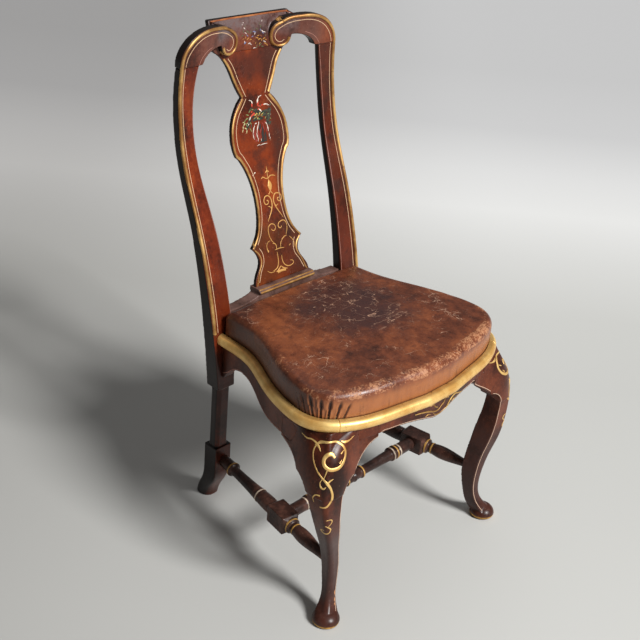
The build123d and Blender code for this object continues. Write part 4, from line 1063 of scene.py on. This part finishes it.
def woven_cloth(name, dark, bright, threads):
    """Plain weave of coarse threads."""
    material, shader, place = new_finish(name)
    waves = [axis.sum_of("SINE", axis * threads) for axis in place.parts()[:2]]
    weave = (waves[0] * waves[1]) * 0.5 + 0.5
    dusty = place.cloud(24, 5, 0.6)
    shade = (weave * 0.5 + dusty * 0.5).between(colour(*dark), colour(*bright))
    feed(shader, Base_Color=shade, Roughness=dusty * 0.1 + 0.8, Normal=bumped(weave, 0.5, 0.0004))
    return material


jute = woven_cloth("jute_weave", (96, 72, 42), (170, 138, 92), 3000)
linen = woven_cloth("linen_weave", (140, 126, 98), (196, 182, 150), 6000)
web_low, web_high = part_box("webbing_crosswise")[0].z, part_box("webbing_lengthwise")[1].z
web_middle, pitch, web_width = (web_low + web_high) / 2, 0.075, 0.05
web_wave, web_thick = 0.00085, 0.0011


def straps(name, node, lengthwise):
    """Three straps that pass over and under the straps of the other direction."""
    low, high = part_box(node)
    cross_low, cross_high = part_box("webbing_crosswise")
    centre_y = (cross_low.y + cross_high.y) / 2
    solid = surface_of(nodes[node])
    level = (low.z + high.z) / 2
    way = Vector((0, 1, 0)) if lengthwise else Vector((1, 0, 0))
    beside = Vector((way.y, way.x, 0))
    pieces = []
    for number in (-1, 0, 1):
        middle = Vector((0, centre_y, level)) + beside * number * pitch
        ends = [solid.ray_cast(middle - way * stand_off * sign, way * sign)[0] for sign in (1, -1)]
        long = (ends[1] - ends[0]).length
        bpy.ops.object.select_all(action="DESELECT")
        bpy.ops.mesh.primitive_grid_add(x_subdivisions=110, y_subdivisions=6, size=1)
        piece = bpy.context.active_object
        for vertex in piece.data.vertices:
            along, over = vertex.co.x * long, vertex.co.y * web_width
            spot = (ends[0] + ends[1]) / 2 + way * along + beside * over
            run = (spot.y - centre_y if lengthwise else spot.x) / pitch
            lift = web_wave * cos(pi * (run + number)) * (-1 if lengthwise else 1)
            vertex.co = (spot.x, spot.y, web_middle + lift)
        finished_by(piece, "SOLIDIFY", thickness=web_thick, offset=0)
        pieces.append(piece)
    bpy.ops.object.select_all(action="DESELECT")
    for piece in pieces:
        piece.select_set(True)
    bpy.ops.object.join()
    whole = bpy.context.active_object
    whole.name = name
    whole.data.materials.append(jute)
    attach(whole, "slip_seat")
    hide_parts(node)


straps("straps_across", "webbing_crosswise", False)
straps("straps_along", "webbing_lengthwise", True)

# The linen: rings of points from its middle to its cut edge.
cloth_low, cloth_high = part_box("base_cloth")
cloth_solid = surface_of(nodes["base_cloth"])
centre = Vector((0, (cloth_low.y + cloth_high.y) / 2, (cloth_low.z + cloth_high.z) / 2))
turns, rings, cloth_thick = 160, 40, 0.0006
points = [tuple(centre)]
for ring in range(1, rings + 1):
    for number in range(turns):
        toward = Vector((cos(number * 2 * pi / turns), sin(number * 2 * pi / turns), 0))
        edge = cloth_solid.ray_cast(centre + toward * 0.7, -toward)[0]
        spot = centre.lerp(edge - toward * 0.0005, ring / rings)
        spot.z += noise.noise(spot * 22) * 0.0003
        points.append(tuple(spot))
faces = rings_joined(rings, turns, start=1)
faces += [(0, 1 + number, 1 + (number + 1) % turns) for number in range(turns)]
cloth = sewn("linen_over_webbing", points, faces)
cloth.data.materials.append(linen)
finished_by(cloth, "SOLIDIFY", thickness=cloth_thick, offset=0)
bpy.ops.object.shade_smooth()
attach(cloth, "slip_seat")
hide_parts("base_cloth")

# The solids that stay as they are: the beech frame, the tacks and the pins.
beech = aged("bare_beech", dark=(128, 98, 64), mid=(160, 126, 88), bright=(184, 150, 108))
iron, iron_shader, place = new_finish("old_iron")
rust = place.cloud(300, 4, 0.6)
feed(iron_shader, Base_Color=rust.between(colour(40, 36, 34), colour(96, 66, 48)),
     Roughness=rust * 0.3 + 0.45)
iron_shader.inputs["Metallic"].default_value = 0.7
for node, piece in nodes.items():
    if not piece.hide_render:
        piece.data.materials.clear()
        piece.data.materials.append(beech if "slip" in node else iron)
